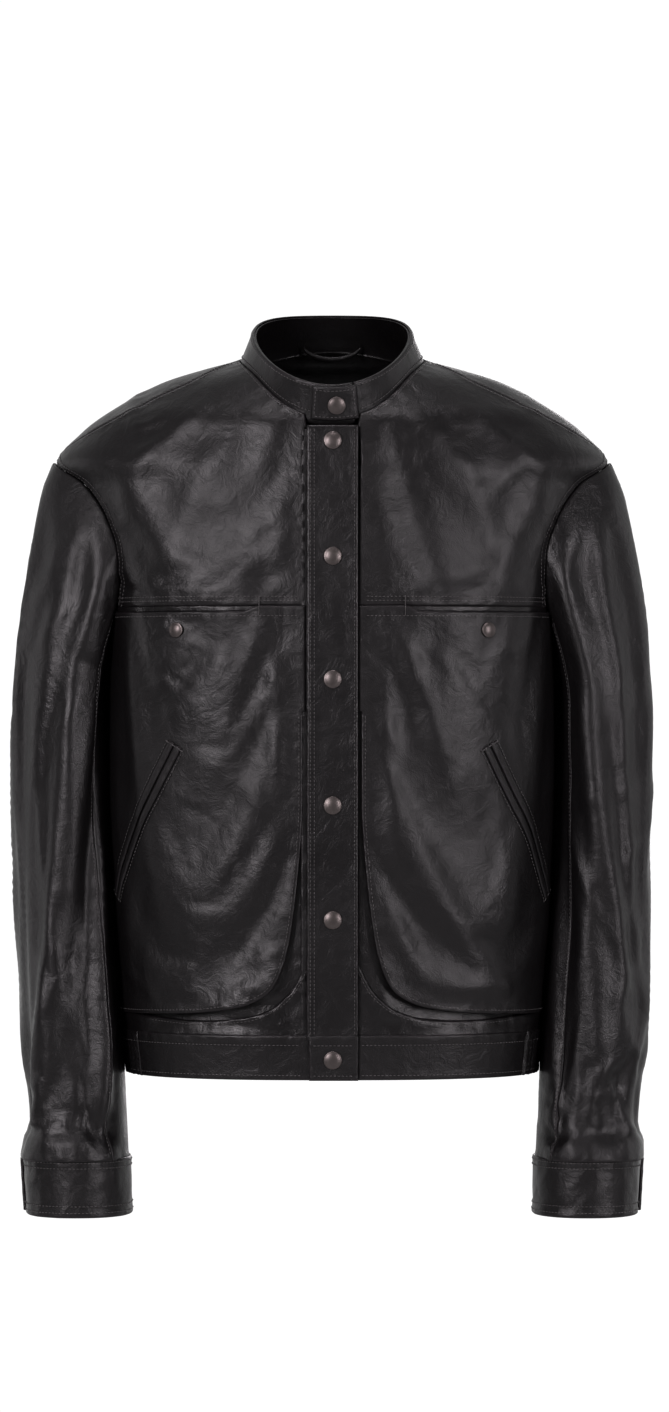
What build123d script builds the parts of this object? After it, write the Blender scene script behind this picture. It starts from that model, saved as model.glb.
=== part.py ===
from build123d import *
import os
from math import cos, pi, radians, sin

# A black leather snap-front jacket with a band collar, standing in its worn shape.
# Millimetres. +Z up, the jacket faces -Y, and the wearer's left is +X.
# The origin lies between the shoulders, at the height of the side neck points.
# Leather and cloth are flat-sided skins, so every joint and layer meets exactly.

os.makedirs("parts", exist_ok=True)

# ---- driving dimensions ----
LEATHER = 1.6             # outer leather
FOLDED = 3.0              # bands made of folded, doubled leather
PLACKET_SEAM = 21.5       # sewn edge of the placket, its hinge line
PLACKET_EDGE = -20.8      # free edge of the placket
PLACKET_TOP = -63.5
CHEST_SEAM = -212.0       # seam across the chest, with the pocket mouths in it
YOKE_SEAM = -150.0        # seam across the back
SHOULDER_SEAM_Y = -28.0   # the shoulder seam runs in front of the ridge
SHOULDER_SEAM_END = -95.0
HEM_TOP = -571.0
HEM_BOTTOM = -604.0
CUFF_TOP = -676.0
CUFF_BOTTOM = -722.0
NECK_TILT = 25.0          # slope of the neck seam, high at the back
NECK_CENTRE = (0, -28, -22.7)
NECK_HALF = (79.0, 88.3)
COLLAR_HEIGHT = 31.0
COLLAR_LEAN = (12.0, 6.0)  # how much the top edge draws in, across and along
CAP_RADIUS = 7.5          # front, collar and cuff snap caps
CHEST_CAP_RADIUS = 6.3
CAP_HEIGHT = 2.4
REACH = 300.0             # further out than any part of the body
TOP = 30.0                # higher than any part of the body

# Layers, as distances out from the leather's outer face.
OUTER = (-LEATHER, 0.0)
UNDERLAY = (-3.3, -1.9)
POCKET_BAG = (-5.0, -3.8)
BODY_LINING = (-6.8, -6.0)
SLEEVE_LINING = (-3.2, -2.4)
STUD_GAP = 2.4            # between the stud layer and the layer that snaps onto it
FACING = (STUD_GAP, 3.2)
PLACKET = (3.2, 4.8)
HEM_TAB = (STUD_GAP, STUD_GAP + FOLDED)
WELT = (0.2, 1.4)

# Body sections: height, half width, depth in front, depth behind, squareness.
BODY = [
    (HEM_TOP, 174.0, 121.0, 112.0, 2.4),
    (-450.0, 182.0, 123.5, 118.0, 2.5),
    (-330.0, 186.0, 124.5, 122.0, 2.5),
    (CHEST_SEAM, 188.0, 123.0, 125.0, 2.5),
    (-160.0, 195.0, 121.0, 125.0, 2.4),
    (-132.0, 205.0, 119.5, 123.0, 2.3),
    (-107.0, 218.0, 117.0, 119.0, 2.2),
    (-90.0, 236.0, 115.0, 113.0, 2.1),
    (-62.0, 212.0, 111.0, 108.0, 2.0),
    (-40.0, 181.0, 98.0, 101.0, 2.0),
    (-20.0, 143.0, 83.0, 90.0, 2.0),
    (-9.0, 108.0, 68.0, 78.0, 2.0),
    (0.0, 72.0, 50.0, 64.0, 2.0),
    (12.5, 48.0, 30.0, 57.0, 2.0),
]
SHOULDER_SLOPE = -70.0    # sections above this one shrink downwards too
HEM = [
    (HEM_BOTTOM, 172.0, 119.5, 111.0, 2.4),
    (HEM_TOP, 175.5, 122.0, 113.5, 2.4),
]

# Sleeve sections: height, inner side, outer side, front, back.
SLEEVE = [
    (CUFF_TOP, 172.0, 258.0, -80.0, 20.0),
    (-606.0, 178.0, 264.0, -76.0, 34.0),
    (-540.0, 184.0, 267.0, -72.0, 46.0),
    (-456.0, 187.0, 270.0, -66.0, 58.0),
    (-373.0, 189.5, 271.0, -62.0, 68.0),
    (-290.0, 190.0, 268.0, -60.0, 76.0),
    (-207.0, 191.5, 262.0, -60.0, 78.0),
    (-160.0, 199.5, 257.0, -57.0, 76.0),
    (-132.0, 209.0, 253.0, -50.0, 68.0),
    (-110.0, 221.0, 249.0, -36.0, 54.0),
    (-95.0, 233.0, 243.0, -14.0, 32.0),
]
CUFF = [
    (CUFF_BOTTOM, 170.0, 256.0, -84.0, 16.0),
    (CUFF_TOP, 171.0, 259.0, -81.0, 21.0),
]
SLEEVE_SQUARENESS = 2.2
SIDES = 16                # flat sides round every section

ARMHOLE = [(-38, -220), (50, -220), (58, -160), (44, -118), (-22, -118), (-44, -160)]
ARMHOLE_BODY = (150.0, REACH)
ARMHOLE_SLEEVE = (150.0, 224.0)

# Heights of the snaps on the placket, and of the one on the hem.
SNAP_HEIGHTS = [-76.0, -171.5, -273.0, -377.0, -471.5]
HEM_SNAP_HEIGHT = -587.0
CHEST_SNAP = (128.0, -232.0)


def facet_distances(level):
    """How far each flat side stands from the middle of a body or collar section."""
    _, half_x, front, back, power = level
    dual = power / (power - 1)
    distances = []
    for side in range(SIDES):
        turn = 2 * pi * side / SIDES
        depth = back if sin(turn) > 0 else front
        reach = abs(half_x * cos(turn)) ** dual + abs(depth * sin(turn)) ** dual
        distances.append(reach ** (1 / dual))
    return distances


def ring_corners(distances, centre=(0.0, 0.0)):
    """Corners where neighbouring flat sides meet."""
    step = 2 * pi / SIDES
    corners = []
    for side in range(SIDES):
        turn = side * step
        here, after = distances[side], distances[(side + 1) % SIDES]
        along = (after - here * cos(step)) / sin(step)
        x = centre[0] + here * cos(turn) - along * sin(turn)
        y = centre[1] + here * sin(turn) + along * cos(turn)
        corners.append((x, y))
    return corners


def flat_sided(rings, base=Plane.XY):
    """A closed solid through rings of corners, each given with its height over a base plane."""
    placed = []
    for height, corners in rings:
        placed.append([base.from_local_coords(Vector(x, y, height)) for x, y in corners])
    faces = [Face(Wire.make_polygon(placed[0])), Face(Wire.make_polygon(placed[-1]))]
    for low, high in zip(placed, placed[1:]):
        for side in range(SIDES):
            after = (side + 1) % SIDES
            corners = [low[side], low[after], high[after], high[side]]
            faces.append(Face(Wire.make_polygon(corners)))
    return Solid(Shell(faces))


def lifted(height, grow):
    """Where a body section stands once it has grown by a distance."""
    return height + grow if height > SHOULDER_SLOPE else height


def body_solid(levels, grow):
    """The body's solid, grown outwards by a distance; its shoulders shrink down too."""
    rings = []
    for level in levels:
        distances = [distance + grow for distance in facet_distances(level)]
        rings.append((lifted(level[0], grow), ring_corners(distances)))
    return flat_sided(rings)


def sleeve_solid(levels, grow):
    """The left sleeve's solid, grown outwards by a distance."""
    rings = []
    for height, inner, outer, front, back in levels:
        depth = (back - front) / 2
        level = (height, (outer - inner) / 2, depth, depth, SLEEVE_SQUARENESS)
        distances = [distance + grow for distance in facet_distances(level)]
        rings.append((height, ring_corners(distances, ((outer + inner) / 2, (back + front) / 2))))
    return flat_sided(rings)


NECK_PLANE = Plane(
    origin=NECK_CENTRE,
    x_dir=(1, 0, 0),
    z_dir=(0, -sin(radians(NECK_TILT)), cos(radians(NECK_TILT))),
)


def neck_ring(height, grow):
    """The collar's section at a height over the neck seam."""
    share = height / COLLAR_HEIGHT
    half_x = NECK_HALF[0] - share * COLLAR_LEAN[0]
    half_y = NECK_HALF[1] - share * COLLAR_LEAN[1]
    distances = [d + grow for d in facet_distances((height, half_x, half_y, half_y, 2.0))]
    return height, ring_corners(distances)


def layer(make_solid, levels, depths):
    """A closed skin between two distances from the outer face."""
    inside, outside = depths
    with BuildPart() as skin:
        add(make_solid(levels, outside))
        add(make_solid(levels, inside), mode=Mode.SUBTRACT)
    return skin.part


def neck_cut(skin):
    """Opens the neck in a body skin."""
    clearance = 0.4
    _, corners = neck_ring(0.0, clearance)
    with BuildPart() as opened:
        add(skin)
        with BuildSketch(NECK_PLANE):
            with BuildLine():
                Polyline(*corners, close=True)
            make_face()
        extrude(amount=70, both=True, mode=Mode.SUBTRACT)
    return opened.part


def armhole_cut(skin, span, sides=(1, -1)):
    """Opens the armholes in a skin, between two distances from the centre line."""
    with BuildPart() as opened:
        add(skin)
        for side in sides:
            with BuildSketch(Plane.YZ.offset(side * span[0])):
                with BuildLine():
                    Polyline(*ARMHOLE, close=True)
                make_face()
            extrude(amount=side * (span[1] - span[0]), mode=Mode.SUBTRACT)
    return opened.part


def front_panel(skin, outline):
    """The front half of a skin inside an outline seen from the front."""
    with BuildPart() as cut:
        add(skin)
        with BuildSketch(Plane.XZ):
            with BuildLine():
                Polyline(*outline, close=True)
            make_face()
        extrude(amount=REACH, mode=Mode.INTERSECT)
    return cut.part


def side_panel(skin, outline, start, stop):
    """The part of a skin inside an outline seen from the side, between two X positions."""
    with BuildPart() as cut:
        add(skin)
        with BuildSketch(Plane.YZ.offset(start)):
            with BuildLine():
                Polyline(*outline, close=True)
            make_face()
        extrude(amount=stop - start, mode=Mode.INTERSECT)
    return cut.part


def plan_panel(skin, outline):
    """The part of a skin inside an outline seen from above."""
    with BuildPart() as cut:
        add(skin)
        with BuildSketch(Plane.XY.offset(-REACH * 3)):
            with BuildLine():
                Polyline(*outline, close=True)
            make_face()
        extrude(amount=REACH * 4, mode=Mode.INTERSECT)
    return cut.part


def rectangle(x_from, x_to, z_from, z_to):
    """The corners of an upright rectangle."""
    return [(x_from, z_from), (x_to, z_from), (x_to, z_to), (x_from, z_to)]


def facet_distances_at(levels, height, grow):
    """The flat sides' distances at any height of a grown body, before they grow."""
    for low, high in zip(levels, levels[1:]):
        low_height, high_height = lifted(low[0], grow), lifted(high[0], grow)
        if low_height <= height <= high_height:
            share = (height - low_height) / (high_height - low_height)
            pairs = zip(facet_distances(low), facet_distances(high))
            return [a + share * (b - a) for a, b in pairs]
    return facet_distances(levels[-1])


def front_point(x, height, grow, levels):
    """The point on the front of a layer at a place seen from the front."""
    depths = []
    for side, distance in enumerate(facet_distances_at(levels, height, grow)):
        turn = 2 * pi * side / SIDES
        if sin(turn) < -0.01:
            depths.append((distance + grow - x * cos(turn)) / sin(turn))
    return Vector(x, max(depths), height)


def front_plane(x, height, grow, levels=BODY):
    """A plane resting on the front of a layer, facing outwards."""
    reach = 2.0
    across = front_point(x + reach, height, grow, levels) - front_point(x - reach, height, grow, levels)
    above = front_point(x, height + reach, grow, levels) - front_point(x, height - reach, grow, levels)
    return Plane(origin=front_point(x, height, grow, levels), x_dir=across, z_dir=across.cross(above))


def snap_cap(plane, radius):
    """A domed snap cap standing on a plane."""
    with BuildPart() as cap:
        with BuildSketch(plane):
            Circle(radius)
        extrude(amount=CAP_HEIGHT)
        fillet(cap.faces().sort_by(Axis(plane.origin, plane.z_dir))[-1].edges(), CAP_HEIGHT * 0.7)
    return cap.part


def snap_socket(plane):
    """The spring ring behind a cap, filling part of the gap towards the stud layer."""
    with BuildPart() as socket:
        with BuildSketch(plane.offset(-STUD_GAP + 0.6)):
            Circle(5.6)
            Circle(4.2, mode=Mode.SUBTRACT)
        extrude(amount=STUD_GAP - 0.6)
    return socket.part


def snap_stud(plane):
    """The stud that a socket closes over."""
    with BuildPart() as stud:
        with BuildSketch(plane):
            Circle(2.3)
        extrude(amount=STUD_GAP - 0.7)
    return stud.part


def joined(parts):
    """Several separate solids held as one piece of the model."""
    with BuildPart() as group:
        for part in parts:
            add(part)
    return group.part


def write(part, name):
    """Labels a finished piece and writes it."""
    part.label = name
    export_step(part, f"parts/{name}.step")


def write_pair(left_part, name):
    """Writes a piece of the wearer's left side and its mirror image."""
    write(left_part, f"left_{name}")
    write(mirror(left_part, about=Plane.YZ), f"right_{name}")


# ---- skins that the panels are cut from ----
body_leather = neck_cut(armhole_cut(layer(body_solid, BODY, OUTER), ARMHOLE_BODY))
body_under = layer(body_solid, BODY, UNDERLAY)
body_bag = layer(body_solid, BODY, POCKET_BAG)
body_lining = neck_cut(armhole_cut(layer(body_solid, BODY, BODY_LINING), ARMHOLE_BODY))
body_facing = layer(body_solid, BODY, FACING)
body_placket = layer(body_solid, BODY, PLACKET)
body_welt = layer(body_solid, BODY, WELT)
hem_skin = layer(body_solid, HEM, (-FOLDED, 0.0))
hem_tab_skin = layer(body_solid, HEM, HEM_TAB)
hem_web_skin = layer(body_solid, HEM, (-FOLDED - 2.2, -FOLDED - 0.4))

# ---- back: a yoke that comes forward over the shoulders, and one panel below ----
back_outline = [(0, HEM_TOP), (0, YOKE_SEAM), (REACH, YOKE_SEAM), (REACH, HEM_TOP)]
yoke_outline = [
    (0, YOKE_SEAM),
    (0, SHOULDER_SEAM_END),
    (SHOULDER_SEAM_Y, SHOULDER_SEAM_END),
    (SHOULDER_SEAM_Y, TOP),
    (REACH, TOP),
    (REACH, YOKE_SEAM),
]
chest_outline = [
    (-REACH, CHEST_SEAM),
    (0, CHEST_SEAM),
    (0, SHOULDER_SEAM_END),
    (SHOULDER_SEAM_Y, SHOULDER_SEAM_END),
    (SHOULDER_SEAM_Y, TOP),
    (-REACH, TOP),
]
write(side_panel(body_leather, back_outline, -REACH, REACH), "back_panel")
write(side_panel(body_leather, yoke_outline, -REACH, REACH), "back_yoke")

# ---- front: chest pieces, loose flaps, the layer under them, lower pieces ----
MOUTH = (60.0, 186.0)        # chest pocket mouth, across
MOUTH_HALF_GAP = 1.2
FLAP_EDGE = [(24, -373), (28, -435), (36, -495), (50, -530), (76, -544), (120, -550), (200, -554)]
LOWER_EDGE = [(22, -509), (34, -531), (50, -545), (72, -552), (200, -557)]
UNDERLAY_EDGE = 16.5


def without_mouth(skin_part, z_from, z_to):
    """Cuts one lip of the chest pocket mouth back."""
    with BuildPart() as cut:
        add(skin_part)
        with BuildSketch(Plane.XZ):
            with BuildLine():
                Polyline(*rectangle(*MOUTH, z_from, z_to), close=True)
            make_face()
        extrude(amount=REACH, mode=Mode.SUBTRACT)
    return cut.part


chest_piece = side_panel(body_leather, chest_outline, PLACKET_SEAM, REACH)
write_pair(without_mouth(chest_piece, CHEST_SEAM - 5, CHEST_SEAM + MOUTH_HALF_GAP), "front_yoke")
flap_piece = front_panel(body_leather, [(200, CHEST_SEAM), (24, CHEST_SEAM), *FLAP_EDGE])
write_pair(without_mouth(flap_piece, CHEST_SEAM - MOUTH_HALF_GAP, CHEST_SEAM + 5), "front_flap")
write_pair(
    front_panel(body_under, rectangle(UNDERLAY_EDGE, 200, HEM_TOP, CHEST_SEAM)), "front_underlay"
)
write_pair(front_panel(body_leather, [(200, HEM_TOP), (22, HEM_TOP), *LOWER_EDGE]), "lower_front")

# ---- pockets: chest welts and bags, hand welts in pairs along a slanted slit, hand bags ----
write_pair(
    front_panel(body_under, rectangle(56, 174, CHEST_SEAM, CHEST_SEAM + 9)), "chest_pocket_welt"
)
write_pair(front_panel(body_bag, rectangle(62, 172, -318, CHEST_SEAM - 2)), "chest_pocket_bag")
write_pair(front_panel(body_bag, rectangle(92, 172, -520, -326)), "hand_pocket_bag")

SLIT = [(129.0, -327.0), (149.0, -368.0), (165.0, -404.0), (178.0, -468.0)]
WELT_WIDTH = 6.5
HALF_SLIT = 0.4
hand_welts = []
for side in (-1, 1):
    near = [(x + side * HALF_SLIT, z) for x, z in SLIT]
    far = [(x + side * (HALF_SLIT + WELT_WIDTH), z + side * 2.5) for x, z in reversed(SLIT)]
    hand_welts.append(front_panel(body_welt, near + far))
write_pair(joined(hand_welts), "hand_pocket_welts")

# ---- body lining ----
LINING_FRONT_EDGE = 24.0
lining_back = [(0, HEM_TOP), (0, TOP), (REACH, TOP), (REACH, HEM_TOP)]
lining_front = [(-REACH, HEM_TOP), (0, HEM_TOP), (0, TOP), (-REACH, TOP)]
write(side_panel(body_lining, lining_back, -REACH, REACH), "back_lining")
write_pair(side_panel(body_lining, lining_front, LINING_FRONT_EDGE, REACH), "front_lining")

# ---- front edges: the placket lies over the right front's stud band ----
STUD_BAND_EDGE = 16.0
HEM_CLEARANCE = 1.0
stud_band = rectangle(PLACKET_EDGE, STUD_BAND_EDGE, HEM_TOP, TOP)
write(front_panel(body_leather, stud_band), "right_stud_band")
placket = rectangle(PLACKET_EDGE, PLACKET_SEAM, HEM_TOP + HEM_CLEARANCE, PLACKET_TOP)
write(front_panel(body_placket, placket), "front_placket")
write(front_panel(body_facing, placket), "placket_facing")

# ---- hem band: plain in front and behind, gathered over elastic at the sides ----
GATHER_FRONT = 158.0
GATHER_BACK = 120.0
write(front_panel(hem_skin, rectangle(PLACKET_SEAM + 0.5, GATHER_FRONT, HEM_BOTTOM, HEM_TOP)),
      "left_hem_band")
write(front_panel(hem_skin, rectangle(-GATHER_FRONT, STUD_BAND_EDGE, HEM_BOTTOM, HEM_TOP)),
      "right_hem_band")
write(plan_panel(hem_skin, rectangle(-GATHER_BACK, GATHER_BACK, 0, REACH)), "hem_band_back")
write(front_panel(hem_tab_skin, rectangle(-19.0, PLACKET_SEAM, HEM_BOTTOM, HEM_TOP)), "hem_tab")
gather = [
    (GATHER_FRONT, -REACH),
    (REACH, -REACH),
    (REACH, REACH),
    (GATHER_BACK, REACH),
    (GATHER_BACK, 0),
    (GATHER_FRONT, 0),
]
write_pair(plan_panel(hem_skin, gather), "hem_gather")
write_pair(plan_panel(hem_web_skin, gather), "hem_elastic")

# ---- sleeves: a top sleeve and an under sleeve, seamed in front and behind ----
sleeve_leather = armhole_cut(layer(sleeve_solid, SLEEVE, OUTER), ARMHOLE_SLEEVE, sides=(1,))
sleeve_cloth = armhole_cut(layer(sleeve_solid, SLEEVE[:-1], SLEEVE_LINING), ARMHOLE_SLEEVE, sides=(1,))
SLEEVE_MIDDLE = Vector(226, 8, -150)
sleeve_line = Vector(215, -30, CUFF_TOP) - SLEEVE_MIDDLE
SEAM_PLANE = Plane(origin=SLEEVE_MIDDLE, z_dir=sleeve_line.cross(Vector(0.47, 0.88, 0)))
with BuildPart() as left_top_sleeve:
    add(sleeve_leather)
    split(bisect_by=SEAM_PLANE, keep=Keep.BOTTOM)
with BuildPart() as left_under_sleeve:
    add(sleeve_leather)
    split(bisect_by=SEAM_PLANE, keep=Keep.TOP)
write_pair(left_top_sleeve.part, "top_sleeve")
write_pair(left_under_sleeve.part, "under_sleeve")
write_pair(sleeve_cloth, "sleeve_lining")

# ---- cuffs, and the snap tab that laps over each cuff's outer back ----
CUFF_TAB_ROOT = -28.0     # where the tab leaves the cuff, front to back
CUFF_TAB_END = 226.0      # where the tab ends behind, across
CUFF_TAB = (STUD_GAP, STUD_GAP + 2.4)
CUFF_SNAP_SIDE = 1        # the flat side, counted from the outermost one towards the back
write_pair(layer(sleeve_solid, CUFF, (-FOLDED, 0.0)), "cuff")
tab_area = [(CUFF_TAB_END, CUFF_TAB_ROOT), (REACH, CUFF_TAB_ROOT), (REACH, REACH), (CUFF_TAB_END, REACH)]
write_pair(plan_panel(layer(sleeve_solid, CUFF, CUFF_TAB), tab_area), "cuff_tab")


def cuff_plane(grow):
    """A plane on the left cuff's outer back side, at its snap."""
    edges = []
    for height, inner, outer, front, back in CUFF:
        depth = (back - front) / 2
        distances = facet_distances((height, (outer - inner) / 2, depth, depth, SLEEVE_SQUARENESS))
        distances = [distance + grow for distance in distances]
        corners = ring_corners(distances, ((outer + inner) / 2, (back + front) / 2))
        edges.append([Vector(x, y, height) for x, y in corners[CUFF_SNAP_SIDE - 1:CUFF_SNAP_SIDE + 1]])
    low, high = [(start + end) / 2 for start, end in edges]
    across = edges[0][1] - edges[0][0]
    rise = high - low
    return Plane(origin=(low + high) / 2, x_dir=across, z_dir=across.cross(rise))


write_pair(snap_cap(cuff_plane(CUFF_TAB[1]), CAP_RADIUS), "cuff_snap_cap")
write_pair(snap_socket(cuff_plane(CUFF_TAB[0])), "cuff_snap_socket")
write_pair(snap_stud(cuff_plane(0.0)), "cuff_snap_stud")

# ---- collar: an open ring of two leathers, with the tab lapped over its front ----
COLLAR_END = 20.0
COLLAR_TAB_END = -16.0
COLLAR_LEATHER = (-1.4, 0.0)
COLLAR_INNER = (-3.2, -1.8)
COLLAR_TAB = (STUD_GAP, STUD_GAP + 2.2)
COLLAR_TAB_HEIGHTS = (2.0, 29.5)
COLLAR_SNAP = (3.4, 16.0)


def collar_layer(depths, heights=(0.0, COLLAR_HEIGHT)):
    """The collar's ring between two distances from its outer face."""
    inside, outside = depths
    with BuildPart() as ring:
        add(flat_sided([neck_ring(height, outside) for height in heights], NECK_PLANE))
        add(flat_sided([neck_ring(height, inside) for height in heights], NECK_PLANE), mode=Mode.SUBTRACT)
    return ring.part


def collar_plane(grow):
    """A plane on the front of the collar, at its snap."""
    x, height = COLLAR_SNAP
    half_y = NECK_HALF[1] - height / COLLAR_HEIGHT * COLLAR_LEAN[1]
    here = NECK_PLANE.from_local_coords(Vector(x, -half_y - grow, height))
    rise = NECK_PLANE.from_local_coords(Vector(0, COLLAR_LEAN[1], COLLAR_HEIGHT))
    rise = rise - NECK_PLANE.origin
    return Plane(origin=here, x_dir=(1, 0, 0), z_dir=Vector(1, 0, 0).cross(rise))


for depths, name in ((COLLAR_LEATHER, "collar_outer"), (COLLAR_INNER, "collar_inner")):
    with BuildPart() as collar:
        add(collar_layer(depths))
        with BuildSketch(Plane.XZ):
            with BuildLine():
                Polyline(*rectangle(COLLAR_END - 1, COLLAR_END, -REACH, TOP * 3), close=True)
            make_face()
        extrude(amount=REACH, mode=Mode.SUBTRACT)
    write(collar.part, name)

collar_tab = rectangle(COLLAR_TAB_END, COLLAR_END, -REACH, TOP * 3)
write(front_panel(collar_layer(COLLAR_TAB, COLLAR_TAB_HEIGHTS), collar_tab), "collar_tab")
write(snap_cap(collar_plane(COLLAR_TAB[1]), CAP_RADIUS), "collar_snap_cap")
write(snap_socket(collar_plane(COLLAR_TAB[0])), "collar_snap_socket")
write(snap_stud(collar_plane(0.0)), "collar_snap_stud")

# ---- snaps down the front, on the hem and on the chest pockets ----


def front_planes(placket_grow, hem_grow):
    """A plane for each snap down the front, the last one on the hem."""
    planes = [front_plane(0.5, height, placket_grow) for height in SNAP_HEIGHTS]
    return [*planes, front_plane(0.5, HEM_SNAP_HEIGHT, hem_grow, HEM)]


caps = [snap_cap(plane, CAP_RADIUS) for plane in front_planes(PLACKET[1], HEM_TAB[1])]
write(joined(caps), "front_snap_caps")
sockets = [snap_socket(plane) for plane in front_planes(FACING[0], HEM_TAB[0])]
write(joined(sockets), "front_snap_sockets")
studs = [snap_stud(plane) for plane in front_planes(0.0, 0.0)]
write(joined(studs), "front_snap_studs")
chest_x, chest_z = CHEST_SNAP
chest_caps = [snap_cap(front_plane(side * chest_x, chest_z, 0.0), CHEST_CAP_RADIUS) for side in (1, -1)]
write(joined(chest_caps), "chest_snap_caps")

# ---- hanger loop inside the back of the neck ----
LOOP_HALF_WIDTH = 26.0
LOOP_TOP = 15.6
LOOP_DROP = 15.0
LOOP_BACK = 40.6
LOOP_THICKNESS = 2.0
LOOP_STRAP = 4.5
with BuildPart() as hanger_loop:
    with BuildSketch(Plane.XZ.offset(-LOOP_BACK)):
        with BuildLine():
            Polyline(*rectangle(-LOOP_HALF_WIDTH, LOOP_HALF_WIDTH, LOOP_TOP - LOOP_DROP, LOOP_TOP), close=True)
        make_face()
        with BuildLine():
            Polyline(
                *rectangle(LOOP_STRAP - LOOP_HALF_WIDTH, LOOP_HALF_WIDTH - LOOP_STRAP,
                           LOOP_TOP - LOOP_DROP + LOOP_STRAP, LOOP_TOP - LOOP_STRAP),
                close=True,
            )
        make_face(mode=Mode.SUBTRACT)
    extrude(amount=LOOP_THICKNESS)
write(hanger_loop.part, "hanger_loop")
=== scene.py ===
"""Looks for the snap-front leather jacket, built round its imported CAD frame.

Sizes are in millimetres in the frame's own axes until a mesh is made, then metres.
Faces -Y, +Z is up, and the wearer's left is +X.
"""

import math
import random

import bpy
import numpy as np
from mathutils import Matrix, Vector, kdtree
from mathutils.geometry import delaunay_2d_cdt


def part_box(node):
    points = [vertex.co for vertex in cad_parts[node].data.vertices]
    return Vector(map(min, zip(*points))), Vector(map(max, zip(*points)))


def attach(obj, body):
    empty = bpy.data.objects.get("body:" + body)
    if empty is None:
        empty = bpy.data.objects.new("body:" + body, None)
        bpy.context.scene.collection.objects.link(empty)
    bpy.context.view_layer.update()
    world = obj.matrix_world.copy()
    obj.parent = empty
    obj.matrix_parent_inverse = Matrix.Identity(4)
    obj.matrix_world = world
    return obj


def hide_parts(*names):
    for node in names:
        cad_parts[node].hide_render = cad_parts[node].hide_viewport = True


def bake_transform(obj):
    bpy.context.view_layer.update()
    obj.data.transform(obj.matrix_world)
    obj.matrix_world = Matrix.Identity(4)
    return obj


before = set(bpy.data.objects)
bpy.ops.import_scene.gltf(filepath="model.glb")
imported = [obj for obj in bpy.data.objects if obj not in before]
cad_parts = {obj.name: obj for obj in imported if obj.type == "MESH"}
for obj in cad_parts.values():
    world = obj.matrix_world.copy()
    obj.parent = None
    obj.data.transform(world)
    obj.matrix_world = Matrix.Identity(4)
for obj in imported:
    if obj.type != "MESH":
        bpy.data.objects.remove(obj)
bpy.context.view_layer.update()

MM = 0.001
SEED = 7
LEATHER = 1.6
CLOTH = 0.8

# ---------------------------------------------------------------- sections
# height, half width, depth in front, depth behind, squareness
TORSO = [
    (-612.0, 171.0, 119.0, 110.5, 2.4),
    (-604.0, 172.0, 119.5, 111.0, 2.4),
    (-571.0, 175.5, 121.0, 112.0, 2.4),
    (-450.0, 184.5, 123.5, 118.0, 2.5),
    (-330.0, 188.0, 124.5, 122.0, 2.5),
    (-212.0, 188.0, 123.0, 125.0, 2.5),
    (-160.0, 195.0, 121.0, 125.0, 2.4),
    (-132.0, 205.0, 119.5, 123.0, 2.3),
    (-107.0, 218.0, 117.0, 119.0, 2.2),
    (-90.0, 234.0, 115.0, 113.0, 2.1),
    (-62.0, 212.0, 111.0, 108.0, 2.0),
    (-40.0, 181.0, 98.0, 101.0, 2.0),
    (-20.0, 143.0, 83.0, 90.0, 2.0),
    (-9.0, 108.0, 68.0, 78.0, 2.0),
    (0.0, 76.0, 50.0, 63.0, 2.0),
    (12.5, 58.0, 30.0, 56.0, 2.0),
    (19.0, 47.0, 20.0, 48.0, 2.0),
    (27.0, 34.0, 11.0, 38.0, 2.0),
]
# height, inner side, outer side, front, back
SLEEVE = [
    (-290.0, 188.4, 268.0, -60.0, 76.0),
    (-373.0, 187.2, 269.5, -62.0, 68.0),
    (-456.0, 183.6, 268.5, -66.0, 58.0),
    (-540.0, 178.2, 266.0, -72.0, 46.0),
    (-606.0, 175.5, 262.0, -76.0, 34.0),
    (-676.0, 172.0, 258.0, -80.0, 20.0),
]
CUFF = [
    (-722.0, 170.0, 256.0, -84.0, 16.0),
    (-674.0, 171.0, 259.0, -81.0, 21.0),
]
SLEEVE_SQUARENESS = 2.2
# armhole on the side of the torso: y, z, from the top by way of the front
ARMHOLE = [
    (8.0, -87.5), (-18.0, -92.0), (-38.0, -106.0), (-52.0, -132.0), (-58.0, -168.0),
    (-52.0, -208.0), (-28.0, -240.0), (8.0, -250.0), (42.0, -240.0), (62.0, -206.0),
    (64.0, -166.0), (54.0, -126.0), (32.0, -100.0),
]
# how far p runs: half round the torso, and once round a sleeve, a cuff and the collar
HALF_GIRTH = 480.0
SLEEVE_GIRTH = 390.0
CUFF_GIRTH = 300.0
COLLAR_GIRTH = 524.0
NECK_TILT = math.radians(25.0)
NECK_CENTRE = np.array([0.0, -28.0, -22.7])
NECK_HALF = (79.0, 88.3)
COLLAR_HEIGHT = 31.0
COLLAR_LEAN = (12.0, 6.0)
COLLAR_SADDLE = 13.0
SHOULDER_TURN = 1.60

PLACKET_SEAM = 21.5
PLACKET_EDGE = -20.8
PLACKET_TOP = -63.5
CHEST_SEAM = -212.0
MOUTH_GAP = 4.6
YOKE_SEAM = -150.0
HEM_TOP = -571.0
HEM_BOTTOM = -604.0
CUFF_TOP = -676.0
CUFF_BOTTOM = -722.0
SNAP_X = 0.5
SNAP_HEIGHTS = [-76.0, -171.5, -273.0, -377.0, -471.5]
HEM_SNAP = -587.0
CHEST_SNAP = (128.0, -232.0)
COLLAR_SNAP = (3.4, -45.5)
FLAP_EDGE = [(24, -300), (24, -373), (28, -435), (36, -495), (50, -530), (76, -544), (120, -550)]
LOWER_EDGE = [(22, -509), (34, -531), (50, -545), (72, -553), (110, -556), (150, -554), (180, -546)]
SHOULDER_SEAM = [(80, -4), (114, -21), (149, -37.5), (185, -55), (217, -72), (234, -88)]
POCKET_SLIT = [(129, -327), (149, -368), (165, -404), (178, -455)]


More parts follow.
